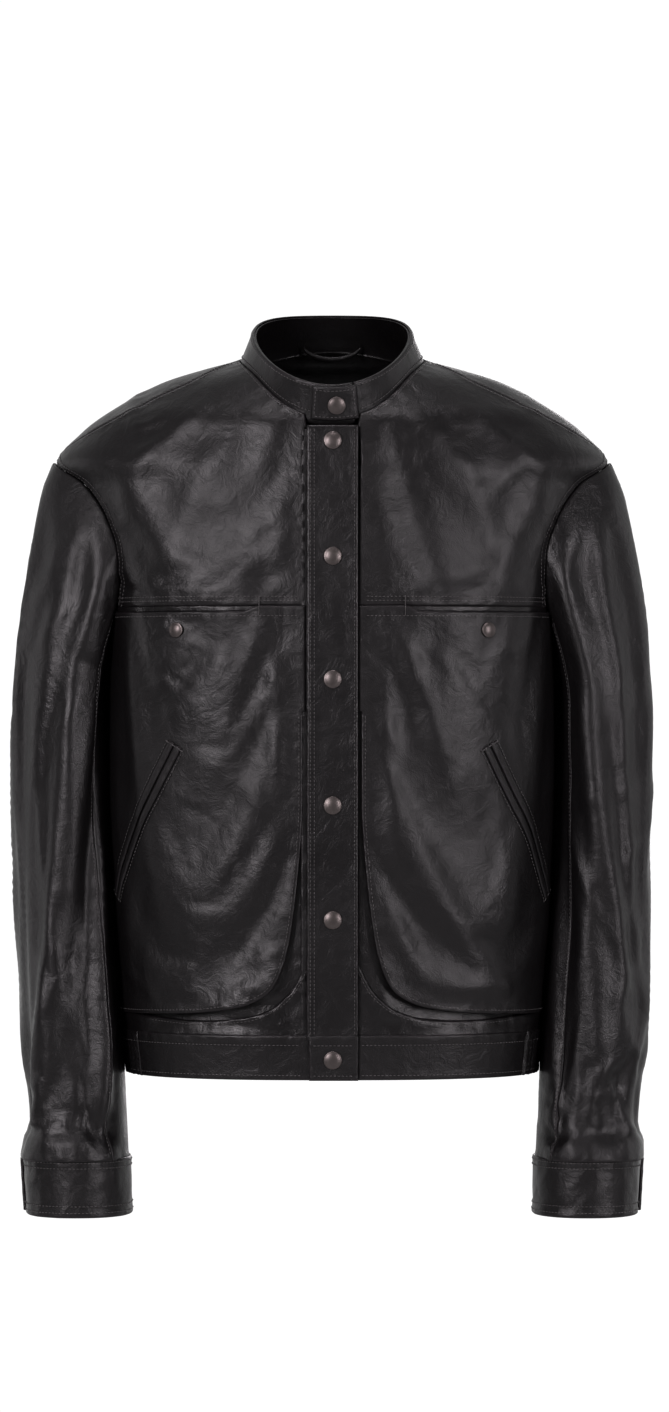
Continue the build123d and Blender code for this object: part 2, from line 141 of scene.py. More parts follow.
# ---------------------------------------------------------------- maths
def smooth(t):
    t = np.clip(t, 0.0, 1.0)
    return t * t * (3 - 2 * t)


def monotone(xs, ys, at):
    """Smooth interpolation through a table, without overshoot."""
    xs, ys = np.asarray(xs, float), np.asarray(ys, float)
    slope = np.diff(ys) / np.diff(xs)
    tangent = np.zeros(len(xs))
    tangent[0], tangent[-1] = slope[0], slope[-1]
    for i in range(1, len(xs) - 1):
        if slope[i - 1] * slope[i] > 0:
            tangent[i] = 2 * slope[i - 1] * slope[i] / (slope[i - 1] + slope[i])
    k = np.clip(np.searchsorted(xs, at) - 1, 0, len(xs) - 2)
    step = xs[k + 1] - xs[k]
    t = (at - xs[k]) / step
    return ((2 * t**3 - 3 * t**2 + 1) * ys[k] + (t**3 - 2 * t**2 + t) * step * tangent[k]
            + (3 * t**2 - 2 * t**3) * ys[k + 1] + (t**3 - t**2) * step * tangent[k + 1])


def resample(points, spacing=3.0, closed=False):
    """Points at even spacing along a polyline, its corners kept."""
    pts = [np.asarray(p, float) for p in points]
    if closed:
        pts.append(pts[0])
    out = []
    for a, b in zip(pts, pts[1:]):
        steps = max(1, int(round(np.linalg.norm(b - a) / spacing)))
        out += [a + (b - a) * i / steps for i in range(steps)]
    if not closed:
        out.append(pts[-1])
    return np.array(out)


def run_of(points):
    """The length run from the first point to each of the others."""
    return np.concatenate([[0], np.cumsum(np.linalg.norm(np.diff(points, axis=0), axis=1))])


def row(ps, q):
    """Points (p, q) with one q for all, or one for each."""
    return np.stack([ps, np.full(len(ps), q)], 1)


def rings(rows, columns):
    """Faces of a tube made of rows of points, each row a ring."""
    faces = []
    for j in range(rows - 1):
        for i in range(columns):
            n = (i + 1) % columns
            faces.append((j * columns + i, j * columns + n, (j + 1) * columns + n, (j + 1) * columns + i))
    return faces


def curve(points, spacing=3.0):
    """A smooth curve through the points."""
    pts = np.asarray(points, float)
    run = run_of(pts)
    at = np.linspace(0, run[-1], max(2, int(run[-1] / spacing) + 1))
    return np.stack([monotone(run, pts[:, i], at) for i in range(pts.shape[1])], 1)


def inside(points, polygon):
    """Which points are inside the polygon."""
    x, y = points[:, 0], points[:, 1]
    found = np.zeros(len(points), bool)
    for (ax, ay), (bx, by) in zip(polygon, np.roll(polygon, -1, 0)):
        if ay == by:
            continue
        found ^= ((ay > y) != (by > y)) & (x < (bx - ax) * (y - ay) / (by - ay) + ax)
    return found


def make_tree(targets):
    tree = kdtree.KDTree(len(targets))
    for i, t in enumerate(targets):
        tree.insert(Vector((*t, 0.0)) if len(t) == 2 else Vector(t), i)
    tree.balance()
    return tree


def nearest(points, targets, tree=None):
    """Distance to, and number of, the target nearest each point."""
    if tree is None:
        tree = make_tree(targets)
    hits = [tree.find(Vector((*p, 0.0)) if len(p) == 2 else Vector(p)) for p in points]
    return np.array([h[2] for h in hits]), np.array([h[1] for h in hits])


# ---------------------------------------------------------------- surfaces
class Surface:
    """A grid of points with a height field, addressed by (p, q) in millimetres."""

    def __init__(self, p, q, points, closed=False):
        self.p, self.q, self.points, self.closed = p, q, points, closed
        self.fold = lambda at: np.zeros(len(at))
        self.trees = {}
        dp = np.gradient(points, p, axis=1)
        if closed:
            dp[:, 0] = dp[:, -1] = (points[:, 1] - points[:, -2]) / (p[1] - p[0]) / 2
        dq = np.gradient(points, q, axis=0)
        normal = np.cross(dp, dq)
        normal /= np.linalg.norm(normal, axis=2, keepdims=True) + 1e-9
        self.dp, self.dq, self.normals = dp, dq, normal

    def _read(self, grid, at):
        at = np.asarray(at, float)
        p = at[:, 0]
        if self.closed:
            span = self.p[-1] - self.p[0]
            p = (p - self.p[0]) % span + self.p[0]
        u = np.clip((p - self.p[0]) / (self.p[1] - self.p[0]), 0, len(self.p) - 1.001)
        v = np.clip(np.interp(at[:, 1], self.q, np.arange(len(self.q))), 0, len(self.q) - 1.001)
        i, j = u.astype(int), v.astype(int)
        s, t = (u - i)[:, None], (v - j)[:, None]
        return ((grid[j, i] * (1 - s) + grid[j, i + 1] * s) * (1 - t)
                + (grid[j + 1, i] * (1 - s) + grid[j + 1, i + 1] * s) * t)

    def _move(self, pq, vector, axes, least):
        """The change in (p, q) that goes along a vector, as far as the named axes show it."""
        a, b = self._read(self.dp, pq)[:, axes], self._read(self.dq, pq)[:, axes]
        aa, ab, bb = (a * a).sum(1), (a * b).sum(1), (b * b).sum(1)
        va, vb = (a * vector).sum(1), (b * vector).sum(1)
        det = aa * bb - ab * ab + least
        return np.stack([(va * bb - vb * ab) / det, (vb * aa - va * ab) / det], 1)

    def at(self, pq):
        return self._read(self.points, pq)

    def normal(self, pq):
        n = self._read(self.normals, pq)
        return n / (np.linalg.norm(n, axis=1, keepdims=True) + 1e-9)

    def raised(self, pq, lift):
        """Points on the folded surface, lifted along its normals."""
        return self.at(pq) + self.normal(pq) * (np.asarray(lift) + self.fold(pq))[:, None]

    def shifted(self, pq, side):
        """The curve moved sideways on the surface by a distance, left of its run."""
        pq = np.asarray(pq, float)
        run = np.gradient(self.at(pq), axis=0)
        run /= np.linalg.norm(run, axis=1, keepdims=True) + 1e-9
        away = np.cross(self.normal(pq), run) * side
        return pq + self._move(pq, away, [0, 1, 2], 1e-9)

    def locate(self, targets, axes=(0, 1, 2), where=None):
        """Where targets lie on the surface, matched along the named axes."""
        targets = np.asarray(targets, float)
        axes = list(axes)
        area = np.ones(self.points.shape[:2], bool) if where is None else where
        key = (tuple(axes), area.tobytes())
        if key not in self.trees:
            grid = np.argwhere(area)
            cloud = np.zeros((len(grid), 3))
            cloud[:, :len(axes)] = self.points[grid[:, 0], grid[:, 1]][:, axes]
            self.trees[key] = (grid, make_tree(cloud))
        grid, tree = self.trees[key]
        aim = np.zeros((len(targets), 3))
        aim[:, :len(axes)] = targets
        _, index = nearest(aim, None, tree)
        found = np.stack([self.p[grid[index, 1]], self.q[grid[index, 0]]], 1)
        for _ in range(4):
            gap = targets - self.at(found)[:, axes]
            found = found + np.clip(self._move(found, gap, axes, 1e-6), -6, 6)
        return found


def make_torso():
    """The body: p runs round it from centre front, q up it from the hem."""
    table = np.array(TORSO)
    run = np.concatenate([[0], np.cumsum(np.hypot(np.diff(table[:, 0]), 0.6 * np.diff(table[:, 1])))])
    q = np.linspace(0, run[-1], 300)
    z, hx, front, back, power = [monotone(run, table[:, i], q) for i in range(5)]
    p = np.linspace(-HALF_GIRTH, HALF_GIRTH, 385)
    turn = np.linspace(-math.pi, math.pi, 2881)
    s, c = np.sin(turn), np.cos(turn)
    points = np.zeros((len(q), len(p), 3))
    for j in range(len(q)):
        x = hx[j] * np.sign(s) * np.abs(s) ** (2 / power[j])
        depth = np.where(c > 0, front[j], back[j])
        y = -depth * np.sign(c) * np.abs(c) ** (2 / power[j])
        length = np.concatenate([[0], np.cumsum(np.hypot(np.diff(x), np.diff(y)))])
        middle = length[len(turn) // 2]
        share = np.where(length < middle, length / middle - 1,
                         (length - middle) / (length[-1] - middle))
        for axis, values in enumerate((x, y)):
            points[j, :, axis] = np.interp(p / HALF_GIRTH, share, values)
        points[j, :, 2] = z[j]
    return Surface(p, q, points, closed=True)


torso = make_torso()
FRONT_SIDE = torso.points[:, :, 1] < 0
BACK_SIDE = torso.points[:, :, 1] > 0


def front(points):
    """Torso (p, q) of points given as seen from the front, x and z."""
    return torso.locate(points, (0, 2), FRONT_SIDE)


def behind(points):
    return torso.locate(points, (0, 2), BACK_SIDE)


def flank(points, side):
    """Torso (p, q) of points given as seen from a side, y and z."""
    return torso.locate(points, (1, 2), (torso.points[:, :, 0] * side) > 60)


def armhole_points(count=96):
    """Smooth closed armhole, as y and z, starting at the top and going forwards."""
    loop = np.array(ARMHOLE + ARMHOLE[:1])
    run = run_of(loop)
    at = np.linspace(0, run[-1], count, endpoint=False)
    wave = np.fft.rfft(np.stack([np.interp(at, run, loop[:, i]) for i in (0, 1)], 1), axis=0)
    wave[12:] = 0
    return np.fft.irfft(wave, count, axis=0)


def sleeve_ring(turn, height, inner, outer, fore, aft):
    """One section of a sleeve or a cuff, on the wearer's left."""
    s, c = np.sin(turn), np.cos(turn)
    e = 2 / SLEEVE_SQUARENESS
    x = (inner + outer) / 2 + (outer - inner) / 2 * np.sign(c) * np.abs(c) ** e
    y = (fore + aft) / 2 - (aft - fore) / 2 * np.sign(s) * np.abs(s) ** e
    return np.stack([x, y, np.full(len(turn), height)], 1)


def make_sleeve(side):
    """The sleeve from its armhole seam to the cuff; p runs round it and q down it."""
    count = 96
    hole = armhole_points(count)
    seam = torso.raised(flank(hole, side), -0.6)
    seam[:, 0] *= side
    turn = 2 * math.pi * np.arange(count) / count
    first = sleeve_ring(turn, *SLEEVE[0])
    c, s = np.cos(turn), np.sin(turn)
    top = np.clip(c, 0, 1)[:, None]
    leave = (np.array([0.45, 0.0, -0.9]) * top
             + np.stack([0.52 + 0.26 * c, -0.25 * s, -0.74 + 0.2 * c], 1) * (1 - top))
    gap = np.linalg.norm(first - seam, axis=1)[:, None]
    rows = []
    for t in np.linspace(0, 1, 30):
        rows.append((2 * t**3 - 3 * t**2 + 1) * seam + (t**3 - 2 * t**2 + t) * leave * gap
                    + (3 * t**2 - 2 * t**3) * first
                    + (t**3 - t**2) * np.array([0.03, 0.0, -1.0]) * gap)
    table = np.array(SLEEVE)
    for z in np.linspace(SLEEVE[0][0] - 6.0, CUFF_TOP, 64):
        rows.append(sleeve_ring(turn, z, *(monotone(-table[:, 0], table[:, i], -z) for i in range(1, 5))))
    points = np.array(rows)
    points[:, :, 0] *= side
    points = np.concatenate([points, points[:, :1]], 1)
    q = np.concatenate([[0], np.cumsum(np.linalg.norm(np.diff(points, axis=0), axis=2).mean(1))])
    p = np.linspace(0, SLEEVE_GIRTH, count + 1)
    if side < 0:
        points = points[:, ::-1]
    return Surface(p, q, points, closed=True)


def make_cuff(side):
    """The cuff: p runs round it, q down it."""
    count = 128
    turn = np.linspace(0, 2 * math.pi, count + 1)
    table = np.array(CUFF)
    heights = np.linspace(CUFF_TOP + 2, CUFF_BOTTOM, 24)
    points = np.array([
        sleeve_ring(turn, z, *(np.interp(z, table[:, 0], table[:, i]) for i in range(1, 5)))
        for z in heights])
    points[:, :, 0] *= side
    if side < 0:
        points = points[:, ::-1]
    return Surface(np.linspace(0, CUFF_GIRTH, count + 1), heights[0] - heights, points, closed=True)


COLLAR_ACROSS = np.array([1.0, 0.0, 0.0])
COLLAR_ALONG = np.array([0.0, math.cos(NECK_TILT), math.sin(NECK_TILT)])
COLLAR_UP = np.array([0.0, -math.sin(NECK_TILT), math.cos(NECK_TILT)])
FOOT_LOW, FOOT_HIGH = -24.0, 20.0


def collar_points(turn, height):
    """Points on the collar; turn is measured from the front towards the wearer's left."""
    turn, height = np.broadcast_arrays(turn, height)
    share = np.clip(height / COLLAR_HEIGHT, 0, 1)[..., None]
    a = NECK_HALF[0] - share * COLLAR_LEAN[0]
    b = NECK_HALF[1] - share * COLLAR_LEAN[1]
    s, c = np.sin(turn)[..., None], np.cos(turn)[..., None]
    points = (NECK_CENTRE + a * s * COLLAR_ACROSS - b * c * COLLAR_ALONG
              + COLLAR_UP * height[..., None])
    points[..., 2] += COLLAR_SADDLE * s[..., 0] ** 2
    return points


def make_collar():
    """The stand collar: p runs round it from the front, q up from the neck seam."""
    turn = np.linspace(0, 2 * math.pi, 241)
    heights = np.linspace(FOOT_LOW - 4, COLLAR_HEIGHT, 45)
    points = np.array([collar_points(turn, h) for h in heights])
    p = np.linspace(-COLLAR_GIRTH / 2, COLLAR_GIRTH / 2, 241)
    return Surface(p, heights, points, closed=True)


def find_foot():
    """How high over its seam plane the collar stands where it comes out of the body's surface."""
    turns = np.linspace(0, 2 * math.pi, 97)
    heights = np.linspace(FOOT_LOW, FOOT_HIGH, 89)
    grid = collar_points(turns[:, None], heights[None, :]).reshape(-1, 3)
    met = torso.locate(grid)
    outside = ((grid - torso.at(met)) * torso.normal(met)).sum(1).reshape(len(turns), len(heights))
    found = np.zeros(len(turns))
    for i, row in enumerate(outside):
        under = np.nonzero(row < 0)[0]
        last = under[-1] if len(under) else 0
        if last == len(heights) - 1:
            last = int(np.abs(row).argmin())
        found[i] = heights[last]
    for _ in range(6):
        found = (np.roll(found[:-1], 1) + 2 * found[:-1] + np.roll(found[:-1], -1)) / 4
        found = np.append(found, found[0])
    return turns, found


FOOT_TURNS, FOOT_HEIGHTS = find_foot()


def foot(turn):
    return np.interp(np.mod(turn, 2 * math.pi), FOOT_TURNS, FOOT_HEIGHTS)


collar = make_collar()
cuffs = {1: make_cuff(1), -1: make_cuff(-1)}
NAMES = {1: "left", -1: "right"}


# ---------------------------------------------------------------- folds
def creases(seed, spans, count, length, width, height, lean):
    """Seeded soft ridges and hollows: each a line with a width, a lean and a height."""
    pick = random.Random(seed)
    lines = []
    for _ in range(count):
        p, q = [pick.uniform(*span) for span in spans]
        angle = math.radians(pick.gauss(*lean))
        lines.append((p, q, math.sin(angle), math.cos(angle), pick.uniform(*length),
                      pick.uniform(*width), pick.choice((-1, 1, 1)) * pick.uniform(*height),
                      pick.uniform(-0.0016, 0.0016)))
    return lines


def crease_field(lines, at, girth=None):
    total = np.zeros(len(at))
    for p, q, s, c, length, width, height, bend in lines:
        dp = at[:, 0] - p
        if girth:
            dp = (dp + girth / 2) % girth - girth / 2
        dq = at[:, 1] - q
        along = dp * s + dq * c
        across = dp * c - dq * s + bend * along * along
        total += height * np.exp(-((across / width) ** 2)) * np.exp(-((along / length) ** 4))
    return total


def fold_between(a, b, width, height):
    """One drawn crease from a to b, in (p, q)."""
    a, b = np.asarray(a, float), np.asarray(b, float)
    d = b - a
    long = float(np.linalg.norm(d))
    return (*(a + b) / 2, d[0] / long, d[1] / long, long / 2, width, height, 0.0)


def drawn_folds():
    """The folds that the way it is cut always gives, as seen from the front."""
    drawn = []
    for ends, width, height in [
        (((-70, -60), (-150, -190)), 13, 2.2), (((-110, -50), (-178, -150)), 12, 2.0),
        (((78, -60), (150, -190)), 13, 2.4), (((52, -80), (88, -200)), 9, -1.6),
        (((118, -50), (182, -150)), 12, 1.8), (((-46, -90), (-60, -200)), 9, -1.2),
        (((-60, -236), (-96, -330)), 8, 2.0), (((-48, -236), (-44, -380)), 7, 1.7),
        (((-86, -236), (-150, -300)), 9, -1.8), (((58, -236), (96, -350)), 8, 2.0),
        (((42, -240), (52, -400)), 7, 1.8), (((88, -236), (146, -310)), 9, -1.7),
        (((-60, -400), (-130, -500)), 14, 1.9), (((60, -400), (120, -510)), 14, 2.0),
        (((-40, -420), (-70, -520)), 9, -1.4), (((48, -430), (84, -520)), 9, -1.3),
        (((-100, -340), (-40, -390)), 9, 1.6), (((110, -350), (50, -390)), 8, 1.4),
    ]:
        a, b = front(np.array(ends, float))
        drawn.append(fold_between(a, b, width, height))
    return drawn


# each set: its seed, where it lies, how many, their length, width, height and lean
ROUND = (-HALF_GIRTH, HALF_GIRTH)
torso_lines = (
    drawn_folds()
    + creases(SEED, (ROUND, (40, 560)), 90, (26, 80), (6, 15), (0.5, 1.6), (10, 42))
    + creases(SEED + 1, (ROUND, (30, 400)), 260, (12, 34), (2.4, 4.6), (0.22, 0.65), (0, 60))
)


def torso_fold(at):
    """The torso's folds, less near the hem and the neck."""
    height = crease_field(torso_lines, at, 2 * HALF_GIRTH)
    calm = smooth((at[:, 1] - 30) / 40) * smooth((torso.q[-1] - 90 - at[:, 1]) / 60)
    return height * (0.25 + 0.75 * calm)


torso.fold = torso_fold
sleeves = {1: make_sleeve(1), -1: make_sleeve(-1)}
for side, sleeve in sleeves.items():
    span, whole = sleeve.q[-1], (0, SLEEVE_GIRTH)
    lines = (
        creases(SEED + 10 + side, (whole, (40, span)), 34, (90, 210), (9, 17), (1.6, 3.6), (0, 9))
        + creases(SEED + 20 + side, (whole, (60, span - 60)), 44, (24, 60), (6, 11), (0.8, 2.0), (35, 30))
        + creases(SEED + 30 + side, (whole, (span - 110, span)), 18, (20, 55), (5, 9), (0.8, 1.8), (0, 14))
    )

    def sleeve_fold(at, lines=lines, span=span):
        ends = smooth(at[:, 1] / 45) * smooth((span - at[:, 1]) / 26)
        return crease_field(lines, at, SLEEVE_GIRTH) * ends

    sleeve.fold = sleeve_fold


# ---------------------------------------------------------------- simulation
CLOTH_QUALITY = 6
CLOTH_MASS = 0.35
CLOTH_STIFFNESS = 28.0
CLOTH_DAMPING = 2.0
SETTLE_FRAMES = 36
SETTLE_LIMIT = 5.5
BROAD_STEPS = 60


def eased(grid):
    return (np.roll(grid, 1, 1) + 2 * grid + np.roll(grid, -1, 1)) / 4


def settle(name, surface, columns, rows, pinned, slack, stiffness, pressure, share):
    """Lets the leather buckle between its seams and adds what it gains to the surface's folds."""
    ps = np.linspace(surface.p[0], surface.p[-1], columns + 1)
    qs = np.linspace(surface.q[0], surface.q[-1], rows)
    pq = np.array([(p, q) for q in qs for p in ps[:-1]])
    start = surface.raised(pq, np.zeros(len(pq)))
    normal = surface.normal(pq)
    mesh = bpy.data.meshes.new(name)
    mesh.from_pydata((start * MM).tolist(), [], rings(rows, columns))
    obj = bpy.data.objects.new(name, mesh)
    bpy.context.scene.collection.objects.link(obj)
    hold = obj.vertex_groups.new(name="hold")
    for i, w in enumerate(pinned(pq, start)):
        if w > 0:
            hold.add([i], float(w), "REPLACE")
    cloth = obj.modifiers.new("cloth", "CLOTH")
    s = cloth.settings
    s.quality = CLOTH_QUALITY
    s.mass = CLOTH_MASS
    s.tension_stiffness = s.compression_stiffness = CLOTH_STIFFNESS
    s.shear_stiffness = CLOTH_STIFFNESS / 2
    s.bending_stiffness = stiffness
    s.air_damping = CLOTH_DAMPING
    s.vertex_group_mass = "hold"
    s.shrink_min = s.shrink_max = -slack
    s.use_pressure = True
    s.uniform_pressure_force = pressure
    cloth.collision_settings.use_self_collision = False
    cloth.point_cache.frame_end = SETTLE_FRAMES
    for f in range(1, SETTLE_FRAMES + 1):
        bpy.context.scene.frame_set(f)
    shown = obj.evaluated_get(bpy.context.evaluated_depsgraph_get())
    ended = np.array([v.co for v in shown.data.vertices]) / MM
    bpy.data.objects.remove(obj)
    bpy.context.scene.frame_set(1)
    gain = np.nan_to_num(((ended - start) * normal).sum(1).reshape(rows, columns))
    broad = gain.copy()
    for _ in range(BROAD_STEPS):
        padded = np.pad(broad, ((1, 1), (0, 0)), mode="edge")
        broad = eased((padded[:-2] + 2 * broad + padded[2:]) / 4)
    gain = eased(gain)
    gain = share * SETTLE_LIMIT * np.tanh((gain - broad) / SETTLE_LIMIT)
    gain = np.concatenate([gain, gain[:, :1]], 1)
    before = surface.fold

    def fold(at):
        p = (at[:, 0] - ps[0]) % (ps[-1] - ps[0]) / (ps[1] - ps[0])
        q = np.clip((at[:, 1] - qs[0]) / (qs[1] - qs[0]), 0, rows - 1.001)
        i, j = np.minimum(p.astype(int), columns - 1), q.astype(int)
        u, v = smooth(p - i), smooth(q - j)
        return before(at) + ((gain[j, i] * (1 - u) + gain[j, i + 1] * u) * (1 - v)
                             + (gain[j + 1, i] * (1 - u) + gain[j + 1, i + 1] * u) * v)

    surface.fold = fold
    print(f"SETTLE {name}: {gain.min():.1f} to {gain.max():.1f} mm, spread {gain.std():.2f}")


def torso_hold(pq, start):
    """The neck, shoulders, armholes, placket and hem hold the body."""
    x, y, z = np.abs(start[:, 0]), start[:, 1], start[:, 2]
    hold = smooth((z + 70) / 40) + smooth((-555 - z) / 14)
    hold += (y < 0) * smooth((34 - x) / 8)
    hold += smooth((x - 168) / 16) * smooth((z + 275) / 30)
    hold += smooth((9 - np.abs(z - CHEST_SEAM)) / 9) * 0.6
    return np.clip(hold, 0, 1)


def sleeve_hold(pq, start):
    span = pq[:, 1].max()
    hold = smooth((26 - pq[:, 1]) / 14) + smooth((pq[:, 1] - span + 16) / 10)
    return np.clip(hold, 0, 1)


# columns, rows, held, slack, bending stiffness, pressure, share of the gain kept
settle("torso_settle", torso, 150, 92, torso_hold, 0.036, 1.2, 0.35, 0.55)
for side, sleeve in sleeves.items():
    settle(f"{NAMES[side]}_settle", sleeve, 64, 84, sleeve_hold, 0.055, 0.9, 0.5, 0.85)


def kept_close(surface, inner):
    """Damps the folds where pieces lie against each other."""
    before = surface.fold

    def fold(at):
        close, height = inner(at), before(at)
        return height * (1 - close) + 0.3 * np.clip(height, -1.0, 1.0) * close

    surface.fold = fold


def beside_arm(at):
    return smooth((62 - np.abs(np.abs(at[:, 0]) - HALF_GIRTH / 2)) / 30)


def beside_body(at):
    return smooth((58 - np.abs(at[:, 0] % SLEEVE_GIRTH - SLEEVE_GIRTH / 2)) / 30)


def beside_placket(at):
    return 0.9 * smooth((46 - np.abs(at[:, 0])) / 18)


def beside_pocket(at):
    return 0.75 * smooth((34 - nearest(at, pocket_lines)[0]) / 24)


pocket_lines = np.concatenate([
    resample(front(np.array([(x * side, z) for x, z in POCKET_SLIT])), 6.0) for side in (1, -1)])
for side, cuff in cuffs.items():
    lines = creases(SEED + 40 + side, ((0, CUFF_GIRTH), (4, 44)), 40, (8, 24), (3, 7), (0.2, 0.7), (30, 50))
    cuff.fold = lambda at, lines=lines: crease_field(lines, at, CUFF_GIRTH)
for beside in (beside_pocket, beside_placket, beside_arm):
    kept_close(torso, beside)
for sleeve in sleeves.values():
    kept_close(sleeve, beside_body)


# ---------------------------------------------------------------- materials
class Shading:
    """A principled material; its nodes take their values and links by input name."""

    def __init__(self, name, colour, roughness, **inputs):
        self.material = bpy.data.materials.new(name)
        self.material.use_nodes = True
        self.tree = self.material.node_tree
        self.shader = self.tree.nodes["Principled BSDF"]
        self.feed(self.shader, {"Base Color": (*colour, 1.0), "Roughness": roughness, **inputs})

    def feed(self, node, inputs):
        for key, value in inputs.items():
            if isinstance(value, bpy.types.NodeSocket):
                self.tree.links.new(value, node.inputs[key])
            else:
                node.inputs[key].default_value = value

    def node(self, kind, inputs, **settings):
        made = self.tree.nodes.new("ShaderNode" + kind)
        for key, value in settings.items():
            setattr(made, key, value)
        self.feed(made, inputs)
        return made

    def attribute(self, name, socket):
        return self.node("Attribute", {}, attribute_name=name).outputs[socket]

    def bump(self, height, strength, distance, **inputs):
        inputs = {"Strength": strength, "Distance": distance, "Height": height, **inputs}
        return self.node("Bump", inputs).outputs["Normal"]


def leather_material(name, colour, roughness):
    """Finely grained, softly wrinkled leather, uneven in gloss and paler along its worn edges."""
    made = Shading(name, colour, roughness,
                   **{"Specular IOR Level": 0.46, "Coat Weight": 0.06, "Coat Roughness": 0.32})
    where = made.attribute("rest", "Vector")
    cells = made.node("TexVoronoi", {"Scale": 700.0, "Vector": where}, feature="DISTANCE_TO_EDGE")
    wander = made.node("TexNoise", {"Scale": 70.0, "Detail": 8.0, "Roughness": 0.62,
                                    "Distortion": 0.9, "Vector": where})
    broad = made.node("TexNoise", {"Scale": 9.0, "Detail": 4.0, "Vector": where})
    grain = made.bump(cells.outputs["Distance"], 0.30, 0.0005)
    wrinkle = made.bump(wander.outputs["Fac"], 0.27, 0.0042, Normal=grain)
    gloss = made.node("MapRange", {"From Min": 0.3, "From Max": 0.7, "To Min": roughness - 0.07,
                                   "To Max": roughness + 0.09, "Value": broad.outputs["Fac"]})
    worn = made.node("Mix", {"A": (*colour, 1.0), "B": (*(c * WORN_PALER for c in colour), 1.0),
                             "Factor": made.attribute("wear", "Fac")}, data_type="RGBA")
    made.feed(made.shader, {"Normal": wrinkle, "Roughness": gloss.outputs["Result"],
                            "Base Color": worn.outputs["Result"]})
    return made.material


def lining_material():
    """Dark twill."""
    made = Shading("lining_twill", (0.012, 0.012, 0.016), 0.62, **{"Sheen Weight": 0.3})
    wave = made.node("TexWave", {"Scale": 700.0, "Distortion": 0.4,
                                 "Vector": made.attribute("rest", "Vector")}, bands_direction="DIAGONAL")
    made.feed(made.shader, {"Normal": made.bump(wave.outputs["Fac"], 0.4, 0.0002)})
    return made.material


def metal_material():
    """Dark metal, finely brushed."""
    made = Shading("gunmetal", (0.125, 0.112, 0.109), 0.43, Metallic=1.0)
    brushed = made.node("TexNoise", {"Scale": 900.0, "Detail": 3.0,
                                     "Vector": made.attribute("rest", "Vector")})
    made.feed(made.shader, {"Normal": made.bump(brushed.outputs["Fac"], 0.12, 0.0002)})
    return made.material


BLACK = (0.0062, 0.0050, 0.0057)
WORN_PALER = 3.2
LOOKS = {
    "leather": leather_material("leather", BLACK, 0.40),
    "glossy": leather_material("leather_glossy", BLACK, 0.34),
    "lining": lining_material(),
    "snap_metal": metal_material(),
    # The thread's colour is paler than the black thread really is: a painted sheen that stands in for the
    # small highlights its stitches catch.
    "thread": Shading("thread", (0.085, 0.080, 0.081), 0.45).material,
}


def add_mesh(name, verts, faces, look, wear=None):
    """A smooth-shaded mesh from millimetres, with its rest place and edge wear kept for the material."""
    mesh = bpy.data.meshes.new(name)
    verts = np.asarray(verts, float) * MM
    mesh.from_pydata(verts.tolist(), [], faces)
    rest = mesh.attributes.new("rest", "FLOAT_VECTOR", "POINT")
    rest.data.foreach_set("vector", verts.astype(np.float32).ravel())
    shade = mesh.attributes.new("wear", "FLOAT", "POINT")
    shade.data.foreach_set("value", (np.zeros(len(verts)) if wear is None else wear).astype(np.float32))
    mesh.polygons.foreach_set("use_smooth", np.ones(len(mesh.polygons), bool))
    mesh.materials.append(LOOKS[look])
    obj = bpy.data.objects.new(name, mesh)
    bpy.context.scene.collection.objects.link(obj)
    return obj


# ---------------------------------------------------------------- panels
# rows of points inside the outline, how much of that gap they keep, and the grid behind them
INSETS = (0.7, 1.9, 3.6)
INSET_KEPT = 0.55
GRID_ROW = 0.866
GRID_KEPT = 0.4
LEAST_EDGE = 0.4
EDGE_ROUND = 1.3
TURNED, TURNED_RISE = 7.0, 0.35
seams_by_body = {}


def lifted(lift, pq):
    return np.zeros(len(pq)) + (lift(pq) if callable(lift) else lift)


def follow(obj, body):
    """Rides on its body; a sleeve's pieces get their transform baked in and no parent, and a cuff's pieces
    ride on its sleeve's body.
    """
    if body.endswith("_sleeve"):
        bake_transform(obj)
    else:
        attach(obj, body.replace("_cuffs", "_sleeve"))


def cut_points(surface, outline, spacing):
    """The outline, rows just inside it, and a staggered grid, as triangles over (p, q)."""
    loop = np.concatenate([outline[-1:], outline, outline[:1]])
    parts = [outline]
    for inset in INSETS:
        moved = surface.shifted(loop, inset)[1:-1]
        moved = moved[inside(moved, outline)]
        parts.append(moved[nearest(moved, outline)[0] > INSET_KEPT * inset])
    low, high = outline.min(0), outline.max(0)
    grid = np.concatenate([
        row(np.arange(low[0] + (k % 2) * spacing / 2, high[0], spacing), q)
        for k, q in enumerate(np.arange(low[1], high[1], spacing * GRID_ROW))])
    grid = grid[inside(grid, outline)]
    if len(grid):
        grid = grid[nearest(grid, outline)[0] > INSETS[-1] + GRID_KEPT * spacing]
    flat = [Vector(v) for v in np.concatenate([*parts, grid])]
    made = delaunay_2d_cdt(flat, [], [list(range(len(outline)))], 1, 1e-4)
    return np.array([tuple(v) for v in made[0]]), [tuple(f) for f in made[2] if len(f) == 3]


